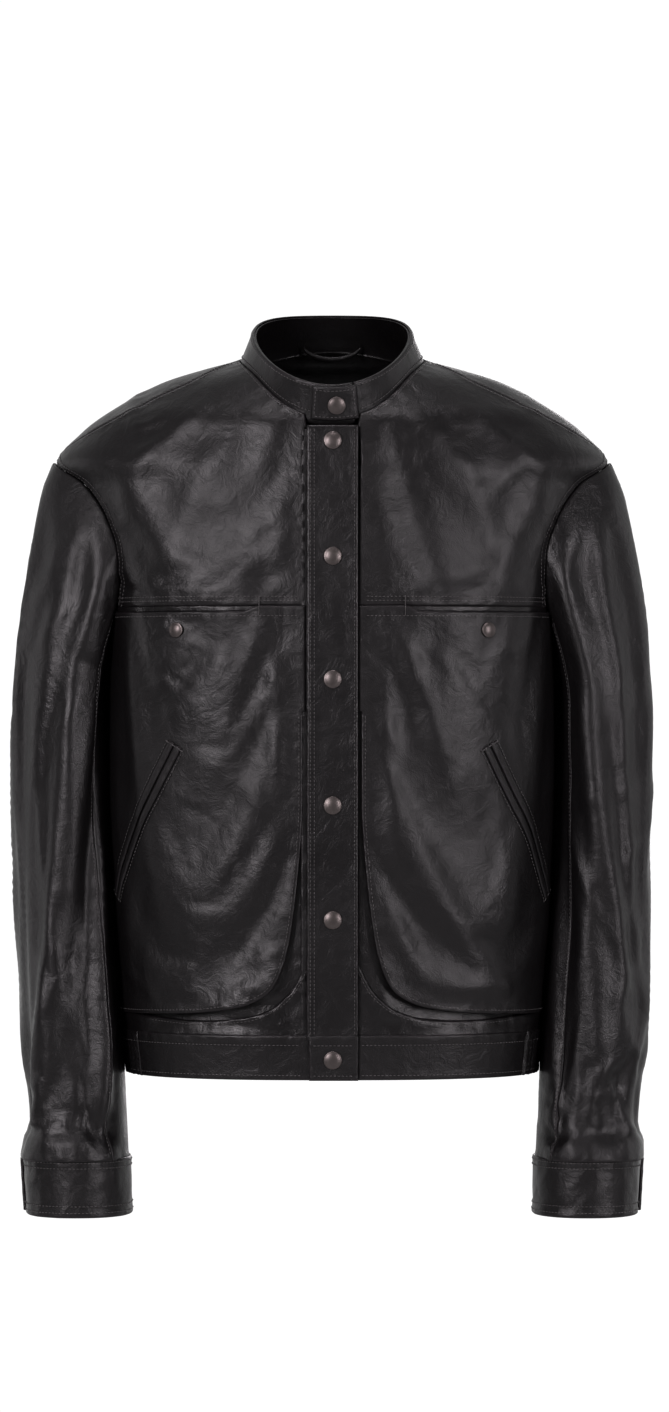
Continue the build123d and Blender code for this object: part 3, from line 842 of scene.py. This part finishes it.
def panel(name, surface, outline, body="jacket_body", nodes=None, lift=0.0, thick=LEATHER,
          look="leather", spacing=4.0, pucker=0.45, free=None):
    """A cut piece: outline in (p, q), laid on the surface, with rounded edges and an inner face."""
    outline = np.asarray(outline, float)
    keep = np.linalg.norm(outline - np.roll(outline, 1, 0), axis=1) > LEAST_EDGE
    outline = resample(outline[keep], closed=True)
    after = np.roll(outline, -1, 0)
    if np.sum(outline[:, 0] * after[:, 1] - after[:, 0] * outline[:, 1]) < 0:
        outline = outline[::-1]
    pq, tris = cut_points(surface, outline, spacing)
    edges = dict.fromkeys((f[i], f[(i + 1) % 3]) for f in tris for i in range(3))
    rim = [e for e in edges if (e[1], e[0]) not in edges]

    border, base = surface.at(outline), surface.at(pq)
    gap, index = nearest(base, border)
    along = run_of(border)[index]
    height = lifted(lift, pq)
    near = np.clip(gap / EDGE_ROUND, 0, 1)
    height -= EDGE_ROUND * 0.7 * (1 - np.sqrt(1 - (1 - near) ** 2))
    height += TURNED_RISE * smooth((TURNED - gap) / 2.0)
    wave = np.sin(along / 2.1 + 1.7 * np.sin(along / 17.0)) * (0.6 + 0.4 * np.sin(along / 29.0))
    height += pucker * wave * np.exp(-np.maximum(gap - 2, 0) / 7.0) * smooth(gap / 3)
    if free is not None:
        height += free(pq)
    wear = np.exp(-gap / 1.1) * (0.5 + 0.5 * np.sin(along / 23.0)) * 0.8

    outer, inner, total = surface.raised(pq, height), surface.raised(pq, height - thick), len(pq)
    faces = tris + [(c + total, b + total, a + total) for a, b, c in tris]
    faces += [(b, a, a + total, b + total) for a, b in rim]
    # the outer face has to look outwards
    f = np.array(tris)
    facing = np.cross(outer[f[:, 1]] - outer[f[:, 0]], outer[f[:, 2]] - outer[f[:, 0]])
    if (facing * surface.normal(pq[f[:, 0]])).sum() < 0:
        faces = [tuple(reversed(g)) for g in faces]
    obj = add_mesh(name, np.concatenate([outer, inner]), faces, look, np.concatenate([wear, wear * 0]))
    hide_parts(*([name] if nodes is None else nodes))
    follow(obj, body)


STITCH_SIDES = 5
# along the stitch, radius, both as shares of its size
STITCH_RINGS = ((-0.36, 0.36), (0.0, 0.5), (0.36, 0.36))


def stitch(surface, path, body="jacket_body", lift=0.3, pitch=3.3, long=2.5, thick=0.8):
    """A row of thread stitches along a (p, q) curve, kept to be joined with its body's others."""
    path = resample(path, 1.0)
    line = surface.raised(path, lifted(lift, path))
    run = run_of(line)
    if run[-1] < pitch:
        return
    mids = np.arange(pitch / 2, run[-1], pitch)

    def on(at):
        return np.stack([np.interp(at, run, line[:, i]) for i in range(3)], 1)

    middle = on(mids)
    ahead = on(mids + 0.5) - on(mids - 0.5)
    ahead /= np.linalg.norm(ahead, axis=1, keepdims=True) + 1e-9
    up = surface.normal(np.stack([np.interp(mids, run, path[:, i]) for i in range(2)], 1))
    across = np.cross(ahead, up)
    n = STITCH_SIDES
    shape = [(-0.5, 0.0, -0.35)]
    for a, r in STITCH_RINGS:
        for w in 2 * math.pi * np.arange(n) / n:
            shape.append((a, r * math.cos(w), r * math.sin(w) + 0.15))
    shape.append((0.5, 0.0, -0.35))
    local = np.array(shape) * np.array([long, thick, thick])
    verts = (middle[:, None] + ahead[:, None] * local[None, :, :1]
             + across[:, None] * local[None, :, 1:2] + up[:, None] * local[None, :, 2:3])
    faces = []
    for k in range(n):
        m = (k + 1) % n
        faces.append((0, 1 + m, 1 + k))
        faces.append((1 + k, 1 + m, 1 + n + m, 1 + n + k))
        faces.append((1 + n + k, 1 + n + m, 1 + 2 * n + m, 1 + 2 * n + k))
        faces.append((1 + 2 * n + k, 1 + 2 * n + m, 1 + 3 * n))
    seams_by_body.setdefault(body, []).append((verts.reshape(-1, 3), faces, len(shape), len(mids)))


def join_stitches():
    """One mesh of stitches for each body, the cuffs' own first."""
    for body in sorted(seams_by_body, key=lambda name: not name.endswith("_cuffs")):
        verts, faces, base = [], [], 0
        for points, pattern, size, number in seams_by_body[body]:
            verts.append(points)
            for i in range(number):
                faces += [tuple(v + base + i * size for v in f) for f in pattern]
            base += len(points)
        follow(add_mesh(f"stitching_{body}", np.concatenate(verts), faces, "thread"), body)


# ---------------------------------------------------------------- the body
WRAP = 2 * HALF_GIRTH
SIDE_SEAM = HALF_GIRTH * 0.52
# places along the armhole's points: the end of its front, the underarm, the back's start above and below
FRONT_END, UNDERARM, BACK_ABOVE, BACK_BELOW = 56, 47, 60, 48
FLAP_END = (176, -553)
THICK_TAB = 2.4
# ends of the linings, as shares of HALF_GIRTH
FRONT_LINING, BACK_LINING = 0.42, 0.6
LINING = {"lift": -7.5, "thick": CLOTH, "look": "lining", "spacing": 9.0, "pucker": 0.0}
HEM_BAND = {"lift": 2.0, "thick": 2.4}


def seam_line(points):
    return front(np.array(points, float))


def q_at(x, z):
    """Height q on the front of the torso of a place given as x and z."""
    return seam_line([(x, z)])[0, 1]


def mirrored(points, side):
    return [(x * side, z) for x, z in points]


def steps(start, end, step=3.0):
    return np.append(np.arange(start, end, step), end)


def strip(ps, first, second):
    """Outline between two rows at the same ps."""
    return np.concatenate([row(ps, first), row(ps, second)[::-1]])


def oblong(a, b, low, high):
    return [[a, low], [b, low], [b, high], [a, high]]


def sewn(path, offsets, lift=0.3):
    """Rows of stitches beside a seam of the torso."""
    for offset in offsets:
        stitch(torso, torso.shifted(path, offset), lift=lift)


def neck_line(start, end, count):
    """The neck seam on the torso, between two turns measured from the front."""
    turn = np.linspace(start, end, count)
    return torso.locate(collar_points(turn, foot(turn)))


def stand_off(pq, flap_edge):
    """How far the flap's loose lower edge stands off the body, less towards the side seam."""
    low = smooth((220 - pq[:, 1]) / 150)
    held = smooth((SIDE_SEAM - 20 - np.abs(pq[:, 0])) / 60)
    return 4.4 * smooth((60 - nearest(pq, flap_edge)[0]) / 60) * low * held


def flap_base(pq):
    """How high the flap lies: lower beside the placket, which closes over it."""
    return 0.9 + 0.9 * smooth((np.abs(pq[:, 0]) - 30) / 30)


def lower_base(pq):
    """How high the lower front lies: raised near the side, over the underlay."""
    return 1.9 * smooth((np.abs(pq[:, 0]) - 150) / 40) - 0.1


holes = {side: flank(armhole_points(), side) for side in (1, -1)}
shoulders = {side: np.concatenate([curve(seam_line(mirrored(SHOULDER_SEAM[:-1], side))), holes[side][:1]])
             for side in (1, -1)}
for side in (1, -1):
    who, around, shoulder, side_p = NAMES[side], holes[side], shoulders[side], side * SIDE_SEAM
    chest_q, mouth_q = q_at(side * 100, CHEST_SEAM), q_at(side * 100, CHEST_SEAM - MOUTH_GAP)
    bottom_q = q_at(side * 100, HEM_TOP)

    # front yoke
    fore = around[:FRONT_END]
    front_down, low_front = fore[fore[:, 1] > chest_q], fore[fore[:, 1] <= chest_q]
    low_front = low_front[np.abs(low_front[:, 0]) < HALF_GIRTH / 2]
    neck = neck_line(side * 0.27, side * SHOULDER_TURN, 50)
    neck[0] = seam_line([(side * PLACKET_SEAM, PLACKET_TOP + 2)])[0]
    chest = resample(seam_line([(side * x, CHEST_SEAM) for x in (PLACKET_SEAM, 60, 120, 160)]))
    chest = np.concatenate([chest, resample([chest[-1], [front_down[-1, 0], chest_q]])[1:]])
    panel(f"{who}_front_yoke", torso, np.concatenate([neck, shoulder, front_down, chest[::-1]]), spacing=4.2)

    # the loose flap, its top edge sagging at the mouth of the chest pocket
    flap_edge = curve(seam_line(mirrored(FLAP_EDGE + [FLAP_END], side)))
    mouth = np.abs(seam_line([(side * 62, CHEST_SEAM), (side * 184, CHEST_SEAM)])[:, 0])
    reach = np.abs(chest[:, 0])
    sag = smooth((reach - mouth[0]) / 10) * smooth((mouth[1] - reach) / 10)
    flap = np.concatenate([
        chest + np.stack([0 * sag, (mouth_q - chest_q) * sag], 1), low_front,
        [[side_p, around[UNDERARM, 1]], [side_p, flap_edge[-1, 1]]], flap_edge[::-1],
        seam_line([(side * PLACKET_SEAM, -300)])])
    panel(f"{who}_front_flap", torso, flap, lift=flap_base, free=lambda pq: stand_off(pq, flap_edge))

    # under it, the underlay and the lower front
    inner = side * (PLACKET_SEAM - 1)
    under = np.concatenate([
        seam_line([(inner, -296), (inner, HEM_TOP)]), [[side_p, bottom_q], [side_p, bottom_q + 74]],
        seam_line([(side * 70, -500), (side * 60, -296)])])
    panel(f"{who}_underlay", torso, under, nodes=[f"{who}_front_underlay"], lift=-2.4, look="glossy",
          spacing=5.0)
    lower_edge = curve(seam_line(mirrored(LOWER_EDGE, side)))
    lower = np.concatenate([
        seam_line([(inner, -509), (inner, HEM_TOP)]), [[side_p, bottom_q], [side_p, lower_edge[-1, 1]]],
        lower_edge[::-1]])
    panel(f"{who}_lower_front", torso, lower, lift=lower_base, look="glossy")

    # topstitching
    sewn(lower_edge[1:-1], (-3.0 * side,))
    sewn(chest[2:], (7.5 * side, 4.2 * side))
    sewn(chest[2:], (-8.5 * side,), lambda pq: flap_base(pq) + 0.5)
    sewn(shoulder[2:-4], (3.0 * side, -3.0 * side))
    sewn(neck[3:], (-3.5 * side,))
    sewn(front_down, (-3.0 * side, -8.0 * side))
    sewn(flap_edge[1:-2], (3.2 * side,), lambda pq: 0.5 + flap_base(pq) + stand_off(pq, flap_edge))

    # hand pocket: two welts along a slanted slit, with a bar at each end
    slit = curve(seam_line(mirrored(POCKET_SLIT, side)))
    for number, way in enumerate((1, -1)):
        welt = np.concatenate([torso.shifted(slit, way * 1.0), torso.shifted(slit, way * 6.5)[::-1]])
        panel(f"{who}_hand_pocket_welt_{number}", torso, welt,
              nodes=[f"{who}_hand_pocket_welts"] if number == 0 else [], lift=3.8, spacing=3.0, pucker=0.2)
        sewn(slit, (way * 6.5 * 1.32,), 2.5)
    for end in (slit[:2], slit[-2:]):
        middle = end.mean(0) + (end - end.mean(0)) * 0.1
        bar = np.concatenate([torso.shifted(middle, 8.6)[:1], torso.shifted(middle, -8.6)[:1]])
        stitch(torso, bar, lift=3.5, pitch=1.2, long=1.7, thick=1.0)

    # chest pocket: a long welt under the yoke seam, with a bar at each end
    mouth = resample(seam_line([(side * 60, CHEST_SEAM), (side * 186, CHEST_SEAM)]))
    welt = np.concatenate([torso.shifted(mouth, 0.4 * side), torso.shifted(mouth, -5.5 * side)[::-1]])
    panel(f"{who}_chest_welt", torso, welt, nodes=[f"{who}_chest_pocket_welt"], lift=-0.6, spacing=3.0,
          pucker=0.2, look="glossy")
    for x in (60, 185):
        bar = seam_line([(side * x, CHEST_SEAM + 8), (side * x, CHEST_SEAM - 8)])
        stitch(torso, bar, lift=2.5, pitch=1.1, long=1.6, thick=0.9)

# back yoke and panel
yoke_q, bottom_q = [behind(np.array([[0.0, z]]))[0, 1] for z in (YOKE_SEAM, HEM_TOP)]


def round_back(points):
    """Back (p, q) counted on past centre back, so that a piece across it is in one run."""
    points = np.array(points, float)
    points[:, 0] = np.where(points[:, 0] < 0, points[:, 0] + WRAP, points[:, 0])
    return points


above, below = {}, {}
for side, hole in holes.items():
    high, low = hole[BACK_ABOVE:], hole[BACK_BELOW:]
    seam = np.array([[np.interp(yoke_q, high[:, 1], high[:, 0]), yoke_q]])
    above[side] = np.concatenate([seam, high[high[:, 1] > yoke_q + 0.5]])
    below[side] = np.concatenate([low[low[:, 1] < yoke_q - 0.5], seam])
neck_back = neck_line(SHOULDER_TURN, 2 * math.pi - SHOULDER_TURN, 90)
panel("back_yoke", torso, round_back(np.concatenate([
    shoulders[1][::-1], neck_back, shoulders[-1], above[-1][::-1], above[1]])), spacing=4.5)
panel("back_panel", torso, round_back(np.concatenate([
    [[SIDE_SEAM, bottom_q], [SIDE_SEAM, below[1][0, 1]]], below[1], below[-1][::-1],
    [[WRAP - SIDE_SEAM, below[-1][0, 1]], [WRAP - SIDE_SEAM, bottom_q]]])), spacing=4.8)
across_back = resample([below[1][-1], below[-1][-1] + np.array([WRAP, 0.0])])
for offset in (3.0, -3.0):
    stitch(torso, across_back + np.array([0.0, offset]))


# placket, stud band and hem
def column(x0, x1, top):
    """Outline of an upright strip of the front, from a height down to the hem."""
    zs = steps(top, HEM_TOP, -4.0)
    return np.concatenate([seam_line([(x0, z) for z in zs]), seam_line([(x1, z) for z in zs])[::-1]])


panel("front_placket", torso, column(PLACKET_EDGE, PLACKET_SEAM, PLACKET_TOP), "placket",
      ["front_placket", "placket_facing"], lift=4.8, thick=THICK_TAB, spacing=3.4, pucker=0.35,
      look="glossy")
panel("right_stud_band", torso, column(-26.0, 20.0, PLACKET_TOP - 2), spacing=4.5)
zs = np.arange(PLACKET_TOP - 3, HEM_TOP + 2, -4.0)
for x in (PLACKET_EDGE + 3, PLACKET_EDGE + 6.2, PLACKET_SEAM - 3):
    stitch(torso, seam_line([(x, z) for z in zs]), "placket", 5.1)

hem_top, hem_low = q_at(0.0, HEM_TOP + 4), q_at(0.0, HEM_BOTTOM)


def hem_strip(start, end):
    """A strip of the hem band between two girth positions."""
    return strip(steps(start, end), hem_top, hem_low)


def pleats(pq):
    """Elastic gathers: close ridges across the band."""
    wander = 2.2 * np.sin(pq[:, 0] / 31.0) + 0.5 * np.sin(pq[:, 1] / 5.0)
    return 1.5 * np.sin((pq[:, 0] + wander) * 2 * math.pi / 8.5)


gather_at = (seam_line([(158.0, HEM_SNAP)])[0, 0], HALF_GIRTH - 130.0)
for side, band_end in ((1, 21.0), (-1, 18.0)):
    who = NAMES[side]
    band, gather = sorted((band_end, side * gather_at[0])), sorted(side * p for p in gather_at)
    panel(f"{who}_hem_band", torso, hem_strip(*band), **HEM_BAND)
    panel(f"{who}_hem_gather", torso, hem_strip(*gather), nodes=[f"{who}_hem_gather", f"{who}_hem_elastic"],
          spacing=2.6, free=pleats, **HEM_BAND)
panel("hem_band_back", torso, hem_strip(gather_at[1], WRAP - gather_at[1]), **HEM_BAND)
panel("hem_tab", torso, hem_strip(*seam_line([(-19.0, HEM_SNAP), (21.5, HEM_SNAP)])[:, 0]), "placket",
      lift=5.4, thick=THICK_TAB, spacing=3.2)
for up in (4.0, 29.0):
    stitch(torso, row(np.arange(24.0, WRAP - 24.0, 3.0), hem_low + up), lift=2.5)
    stitch(torso, row(np.arange(-16.0, 19.0, 3.0), hem_low + up), "placket", 5.7)

# linings, inside the leather
lining_low, lining_top = q_at(0.0, HEM_TOP + 6), q_at(100.0, -120.0)
for side in (1, -1):
    who = NAMES[side]
    a, b = sorted((side * 18.0, side * HALF_GIRTH * FRONT_LINING))
    panel(f"{who}_front_lining", torso, oblong(a, b, lining_low, lining_top),
          nodes=[f"{who}_front_lining", f"{who}_chest_pocket_bag", f"{who}_hand_pocket_bag"], **LINING)
a = HALF_GIRTH * BACK_LINING
panel("back_lining", torso, oblong(a, WRAP - a, lining_low, lining_top + 40), **LINING)


# collar and its tab
def collar_front(point):
    """Collar (p, q) of a place given as seen from the front, x and z."""
    return collar.locate([point], (0, 2), collar.points[:, :, 1] < -60)


def collar_foot(ps):
    return foot((ps + COLLAR_GIRTH / 2) / COLLAR_GIRTH * 2 * math.pi)


front_p, tab_p = collar_front((20.0, -46.0))[0, 0], collar_front((-16.0, -46.0))[0, 0]
ends = (front_p + 0.5, front_p + COLLAR_GIRTH - 1.5)
ps = steps(*ends)
# the lower edges tuck under the yoke
panel("collar_outer", collar, strip(ps, collar_foot(ps) - 7.0, COLLAR_HEIGHT), thick=1.4, spacing=3.4,
      pucker=0.3)
panel("collar_inner", collar, strip(ps, collar_foot(ps) - 8.0, COLLAR_HEIGHT - 0.6), lift=-1.9, thick=1.3,
      spacing=5.0, pucker=0.1)
a, b = sorted((front_p, tab_p))
if b - a > COLLAR_GIRTH / 2:
    a, b = b, a + COLLAR_GIRTH
panel("collar_tab", collar, strip(steps(a, b), 2.0, 29.5), "collar_tab", lift=4.6, thick=2.2, spacing=2.6,
      pucker=0.15)
ps = np.arange(ends[0] + 3, ends[1] - 3, 3.0)
for height in (collar_foot(ps) + 3.4, COLLAR_HEIGHT - 2.8):
    stitch(collar, row(ps, height))
around_tab = oblong(a + 3, b - 3, 5, 26.5)
stitch(collar, around_tab + around_tab[:1], "collar_tab", 4.9)

# sleeves, cuffs and their tabs
TOP_GAP = 0.6
CUFF_LAP = 298.0
TAB_MIDDLE = -699.0
for side in (1, -1):
    who, sleeve, cuff = NAMES[side], sleeves[side], cuffs[side]
    span, cuff_len = sleeve.q[-1], cuff.q[-1]
    seam_a, seam_b = sorted((share if side > 0 else 1 - share) * SLEEVE_GIRTH for share in (0.36, 0.80))
    for part, a, b, look in (
            ("under_sleeve", seam_a, seam_b, {"spacing": 4.6}),
            ("top_sleeve", seam_b, seam_a + SLEEVE_GIRTH, {"spacing": 4.6}),
            ("sleeve_lining", 2.0, SLEEVE_GIRTH - 2.0, {**LINING, "lift": -3.2, "spacing": 10.0})):
        tube = strip(steps(TOP_GAP, span, 4.0), a, b)[:, ::-1]
        panel(f"{who}_{part}", sleeve, tube, f"{who}_sleeve", **look)
    for place in (seam_a, seam_b):
        stitch(sleeve, row(np.arange(20.0, span - 4, 3.0), place + 2.6)[:, ::-1], f"{who}_sleeve")

    start = CUFF_GIRTH * (0.16 if side < 0 else 0.84)
    wrapped = strip(np.arange(start, start + CUFF_LAP, 3.0), 0.0, cuff_len)
    panel(f"{who}_cuff", cuff, wrapped, f"{who}_cuffs", lift=1.4, thick=2.4, spacing=3.4)
    for q in (2.6, 7.2, cuff_len - 4.0, cuff_len - 9.5):
        stitch(cuff, row(np.arange(start + 3, start + CUFF_LAP - 3, 3.0), q), f"{who}_cuffs", 1.8)
    low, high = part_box(f"{who}_cuff_tab")
    root = cuff.locate([[low.y / MM, TAB_MIDDLE]], (1, 2), cuff.points[:, :, 0] * side > 225)[0, 0]
    x_end = (low.x if side > 0 else high.x) / MM
    a, b = sorted((root, cuff.locate([[x_end, TAB_MIDDLE]], (0, 2), cuff.points[:, :, 1] > 0)[0, 0]))
    if b - a > CUFF_GIRTH / 2:
        a, b = b, a + CUFF_GIRTH
    panel(f"{who}_cuff_tab", cuff, oblong(a, b, 2.0, cuff_len - 1.5), f"{who}_cuff_tab", lift=4.6,
          thick=THICK_TAB, spacing=3.0)

join_stitches()


# ---------------------------------------------------------------- metal
SNAP_RADIUS = 7.5
CHEST_SNAP_RADIUS = 6.3
SNAP_HEIGHT = 2.4
SNAP_SIDES = 48
# a domed cap with a rolled rim and a dished ring round its crown: share of radius, share of height
SNAP_PROFILE = [(1.0, -0.02), (1.015, 0.18), (0.99, 0.36), (0.93, 0.46), (0.86, 0.47), (0.82, 0.52),
                (0.70, 0.68), (0.52, 0.84), (0.32, 0.95), (0.14, 0.99)]


def snap_cap(name, surface, pq, lift, body, nodes, radius=SNAP_RADIUS):
    """A snap cap standing on a surface, lifted by the layers under it."""
    centre, outward = surface.raised(pq, np.full(1, lift))[0], surface.normal(pq)[0]
    outward = outward / np.linalg.norm(outward)
    across = np.cross(outward, [0.0, 0.0, 1.0])
    across /= np.linalg.norm(across) + 1e-9
    up = np.cross(across, outward)
    count = SNAP_SIDES
    verts = []
    for r, h in SNAP_PROFILE:
        for w in 2 * math.pi * np.arange(count) / count:
            verts.append(centre + (across * math.cos(w) + up * math.sin(w)) * r * radius
                         + outward * h * SNAP_HEIGHT)
    verts.append(centre + outward * SNAP_HEIGHT)
    verts.append(centre - outward * 0.05 * SNAP_HEIGHT)
    faces = rings(len(SNAP_PROFILE), count)
    last, top = (len(SNAP_PROFILE) - 1) * count, len(verts) - 2
    for k in range(count):
        n = (k + 1) % count
        faces.append((last + k, last + n, top))
        faces.append((n, k, top + 1))
    obj = add_mesh(name, np.array(verts), faces, "snap_metal")
    if nodes:
        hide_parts(*nodes)
    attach(obj, body)


for number, height in enumerate(SNAP_HEIGHTS):
    snap_cap(f"front_snap_cap_{number}", torso, seam_line([(SNAP_X, height)]), 4.9, "placket",
             ["front_snap_caps"] if number == 0 else [])
snap_cap("hem_snap_cap", torso, seam_line([(SNAP_X, HEM_SNAP)]), 5.5, "placket", [])
for side in (1, -1):
    snap_cap(f"{NAMES[side]}_chest_snap_cap", torso, seam_line([(side * CHEST_SNAP[0], CHEST_SNAP[1])]),
             2.7, "jacket_body", ["chest_snap_caps"] if side > 0 else [], CHEST_SNAP_RADIUS)
snap_cap("collar_snap_cap", collar, collar_front(COLLAR_SNAP), 4.7, "collar_tab", ["collar_snap_cap"])
for side in (1, -1):
    who = NAMES[side]
    low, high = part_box(f"{who}_cuff_snap_cap")
    at = cuffs[side].locate([np.array((low + high) / 2) / MM])
    snap_cap(f"{who}_cuff_snap_cap", cuffs[side], at, 4.9, f"{who}_cuff_tab", [f"{who}_cuff_snap_cap"])

# CAD metal that stays in view takes the same finish
for name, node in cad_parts.items():
    if "stud" in name and "band" not in name or "socket" in name:
        node.data.materials.clear()
        node.data.materials.append(LOOKS["snap_metal"])

# hanger loop: a narrow rolled strap, sagging between its two ends
STRAP_HALF = (0.95, 2.1)
STRAP_SIDES = 8
STRAP_STEPS = 40
loop_low, loop_high = [np.array(corner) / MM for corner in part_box("hanger_loop")]
reach, drop = (loop_high[0] - loop_low[0]) / 2, loop_high[2] - loop_low[2] - 4.4
verts = []
for t in np.linspace(0, 1, STRAP_STEPS):
    point = np.array((reach * (2 * t - 1) * 0.93, (loop_low[1] + loop_high[1]) / 2,
                      loop_high[2] - 2.2 - drop * math.sin(math.pi * t) ** 0.5))
    for w in 2 * math.pi * np.arange(STRAP_SIDES) / STRAP_SIDES:
        verts.append(point + np.array([0, STRAP_HALF[0] * math.cos(w), STRAP_HALF[1] * math.sin(w)]))
faces = rings(STRAP_STEPS, STRAP_SIDES)
faces.append(tuple(range(STRAP_SIDES)))
faces.append(tuple(reversed(range((STRAP_STEPS - 1) * STRAP_SIDES, STRAP_STEPS * STRAP_SIDES))))
loop = add_mesh("hanger_loop_strap", np.array(verts), faces, "leather")
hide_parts("hanger_loop")
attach(loop, "hanger_loop")


# ---------------------------------------------------------------- studio
FLOOR_HEIGHT, FLOOR_RADIUS, FLOOR_SIDES = -1.45, 3.4, 96
FLOOR_COLOUR = (0.62, 0.62, 0.62)
SURROUND = (0.30, 1.04)
SURROUND_SPAN = (-0.5, 0.95)
PRINT_CONTRAST = 0.74
LIGHT_COLOUR = (1.0, 0.95, 0.98)
CENTRE = (0.0, 0.0, -0.33)
# name, place, width, height, watts
SOFTBOXES = [
    ("key", (-1.5, -2.4, 0.45), 0.48, 1.2, 64),
    ("fill", (1.8, -2.1, 0.1), 0.36, 1.5, 44),
    ("top", (0.0, -0.9, 2.2), 1.0, 0.32, 26),
    ("behind", (0.5, 2.7, 0.0), 0.7, 1.5, 15),
    ("left_edge", (-2.2, 0.4, -0.1), 0.22, 1.7, 6),
    ("right_edge", (2.2, 0.4, -0.1), 0.22, 1.7, 6),
]
CAMERA_AWAY = 4.1
CHEST_DEPTH = 0.1
PICTURE_HEIGHT = 1.172
SENSOR = 24.0


def staged(obj):
    bpy.context.scene.collection.objects.link(obj)


def build_stage():
    """A round pale floor, with nothing standing between the object and any view."""
    verts = [(0.0, 0.0, FLOOR_HEIGHT)]
    for k in range(FLOOR_SIDES):
        w = 2 * math.pi * k / FLOOR_SIDES
        verts.append((FLOOR_RADIUS * math.cos(w), FLOOR_RADIUS * math.sin(w), FLOOR_HEIGHT))
    faces = [(0, 1 + k, 1 + (k + 1) % FLOOR_SIDES) for k in range(FLOOR_SIDES)]
    mesh = bpy.data.meshes.new("floor")
    mesh.from_pydata(verts, [], faces)
    mesh.materials.append(Shading("floor", FLOOR_COLOUR, 0.9).material)
    staged(bpy.data.objects.new("floor", mesh))


def build_surround():
    """A pale surround, brightest behind the object and softer in front of it."""
    world = bpy.data.worlds.new("studio")
    world.use_nodes = True
    nodes, links = world.node_tree.nodes, world.node_tree.links
    place = nodes.new("ShaderNodeTexCoord")
    split = nodes.new("ShaderNodeSeparateXYZ")
    spread = nodes.new("ShaderNodeMapRange")
    spread.interpolation_type = "SMOOTHSTEP"
    for key, value in zip(("From Min", "From Max", "To Min", "To Max"), SURROUND_SPAN + SURROUND):
        spread.inputs[key].default_value = value
    links.new(place.outputs["Generated"], split.inputs["Vector"])
    links.new(split.outputs["Y"], spread.inputs["Value"])
    links.new(spread.outputs["Result"], nodes["Background"].inputs["Strength"])
    nodes["Background"].inputs["Color"].default_value = (1.0, 1.0, 1.0, 1.0)
    return world


def softbox(name, where, width, height, watts):
    """A rectangular light aimed at the middle of the object."""
    light = bpy.data.lights.new(name, "AREA")
    light.shape = "RECTANGLE"
    light.size, light.size_y, light.energy = width, height, watts
    light.color = LIGHT_COLOUR
    obj = bpy.data.objects.new(name, light)
    obj.location = where
    obj.rotation_euler = (Vector(CENTRE) - Vector(where)).to_track_quat("-Z", "Y").to_euler()
    staged(obj)


build_stage()
for box in SOFTBOXES:
    softbox(*box)
scene = bpy.context.scene
scene.world = build_surround()
scene.view_settings.view_transform = "Standard"
scene.view_settings.gamma = PRINT_CONTRAST

camera_data = bpy.data.cameras.new("camera")
camera_data.sensor_fit = "VERTICAL"
camera_data.sensor_height = SENSOR
camera_data.lens = SENSOR * (CAMERA_AWAY - CHEST_DEPTH) / PICTURE_HEIGHT
camera = bpy.data.objects.new("camera", camera_data)
camera.location = (0.002, -CAMERA_AWAY, -0.295)
camera.rotation_euler = (math.pi / 2, 0.0, 0.0)
scene.collection.objects.link(camera)
scene.camera = camera
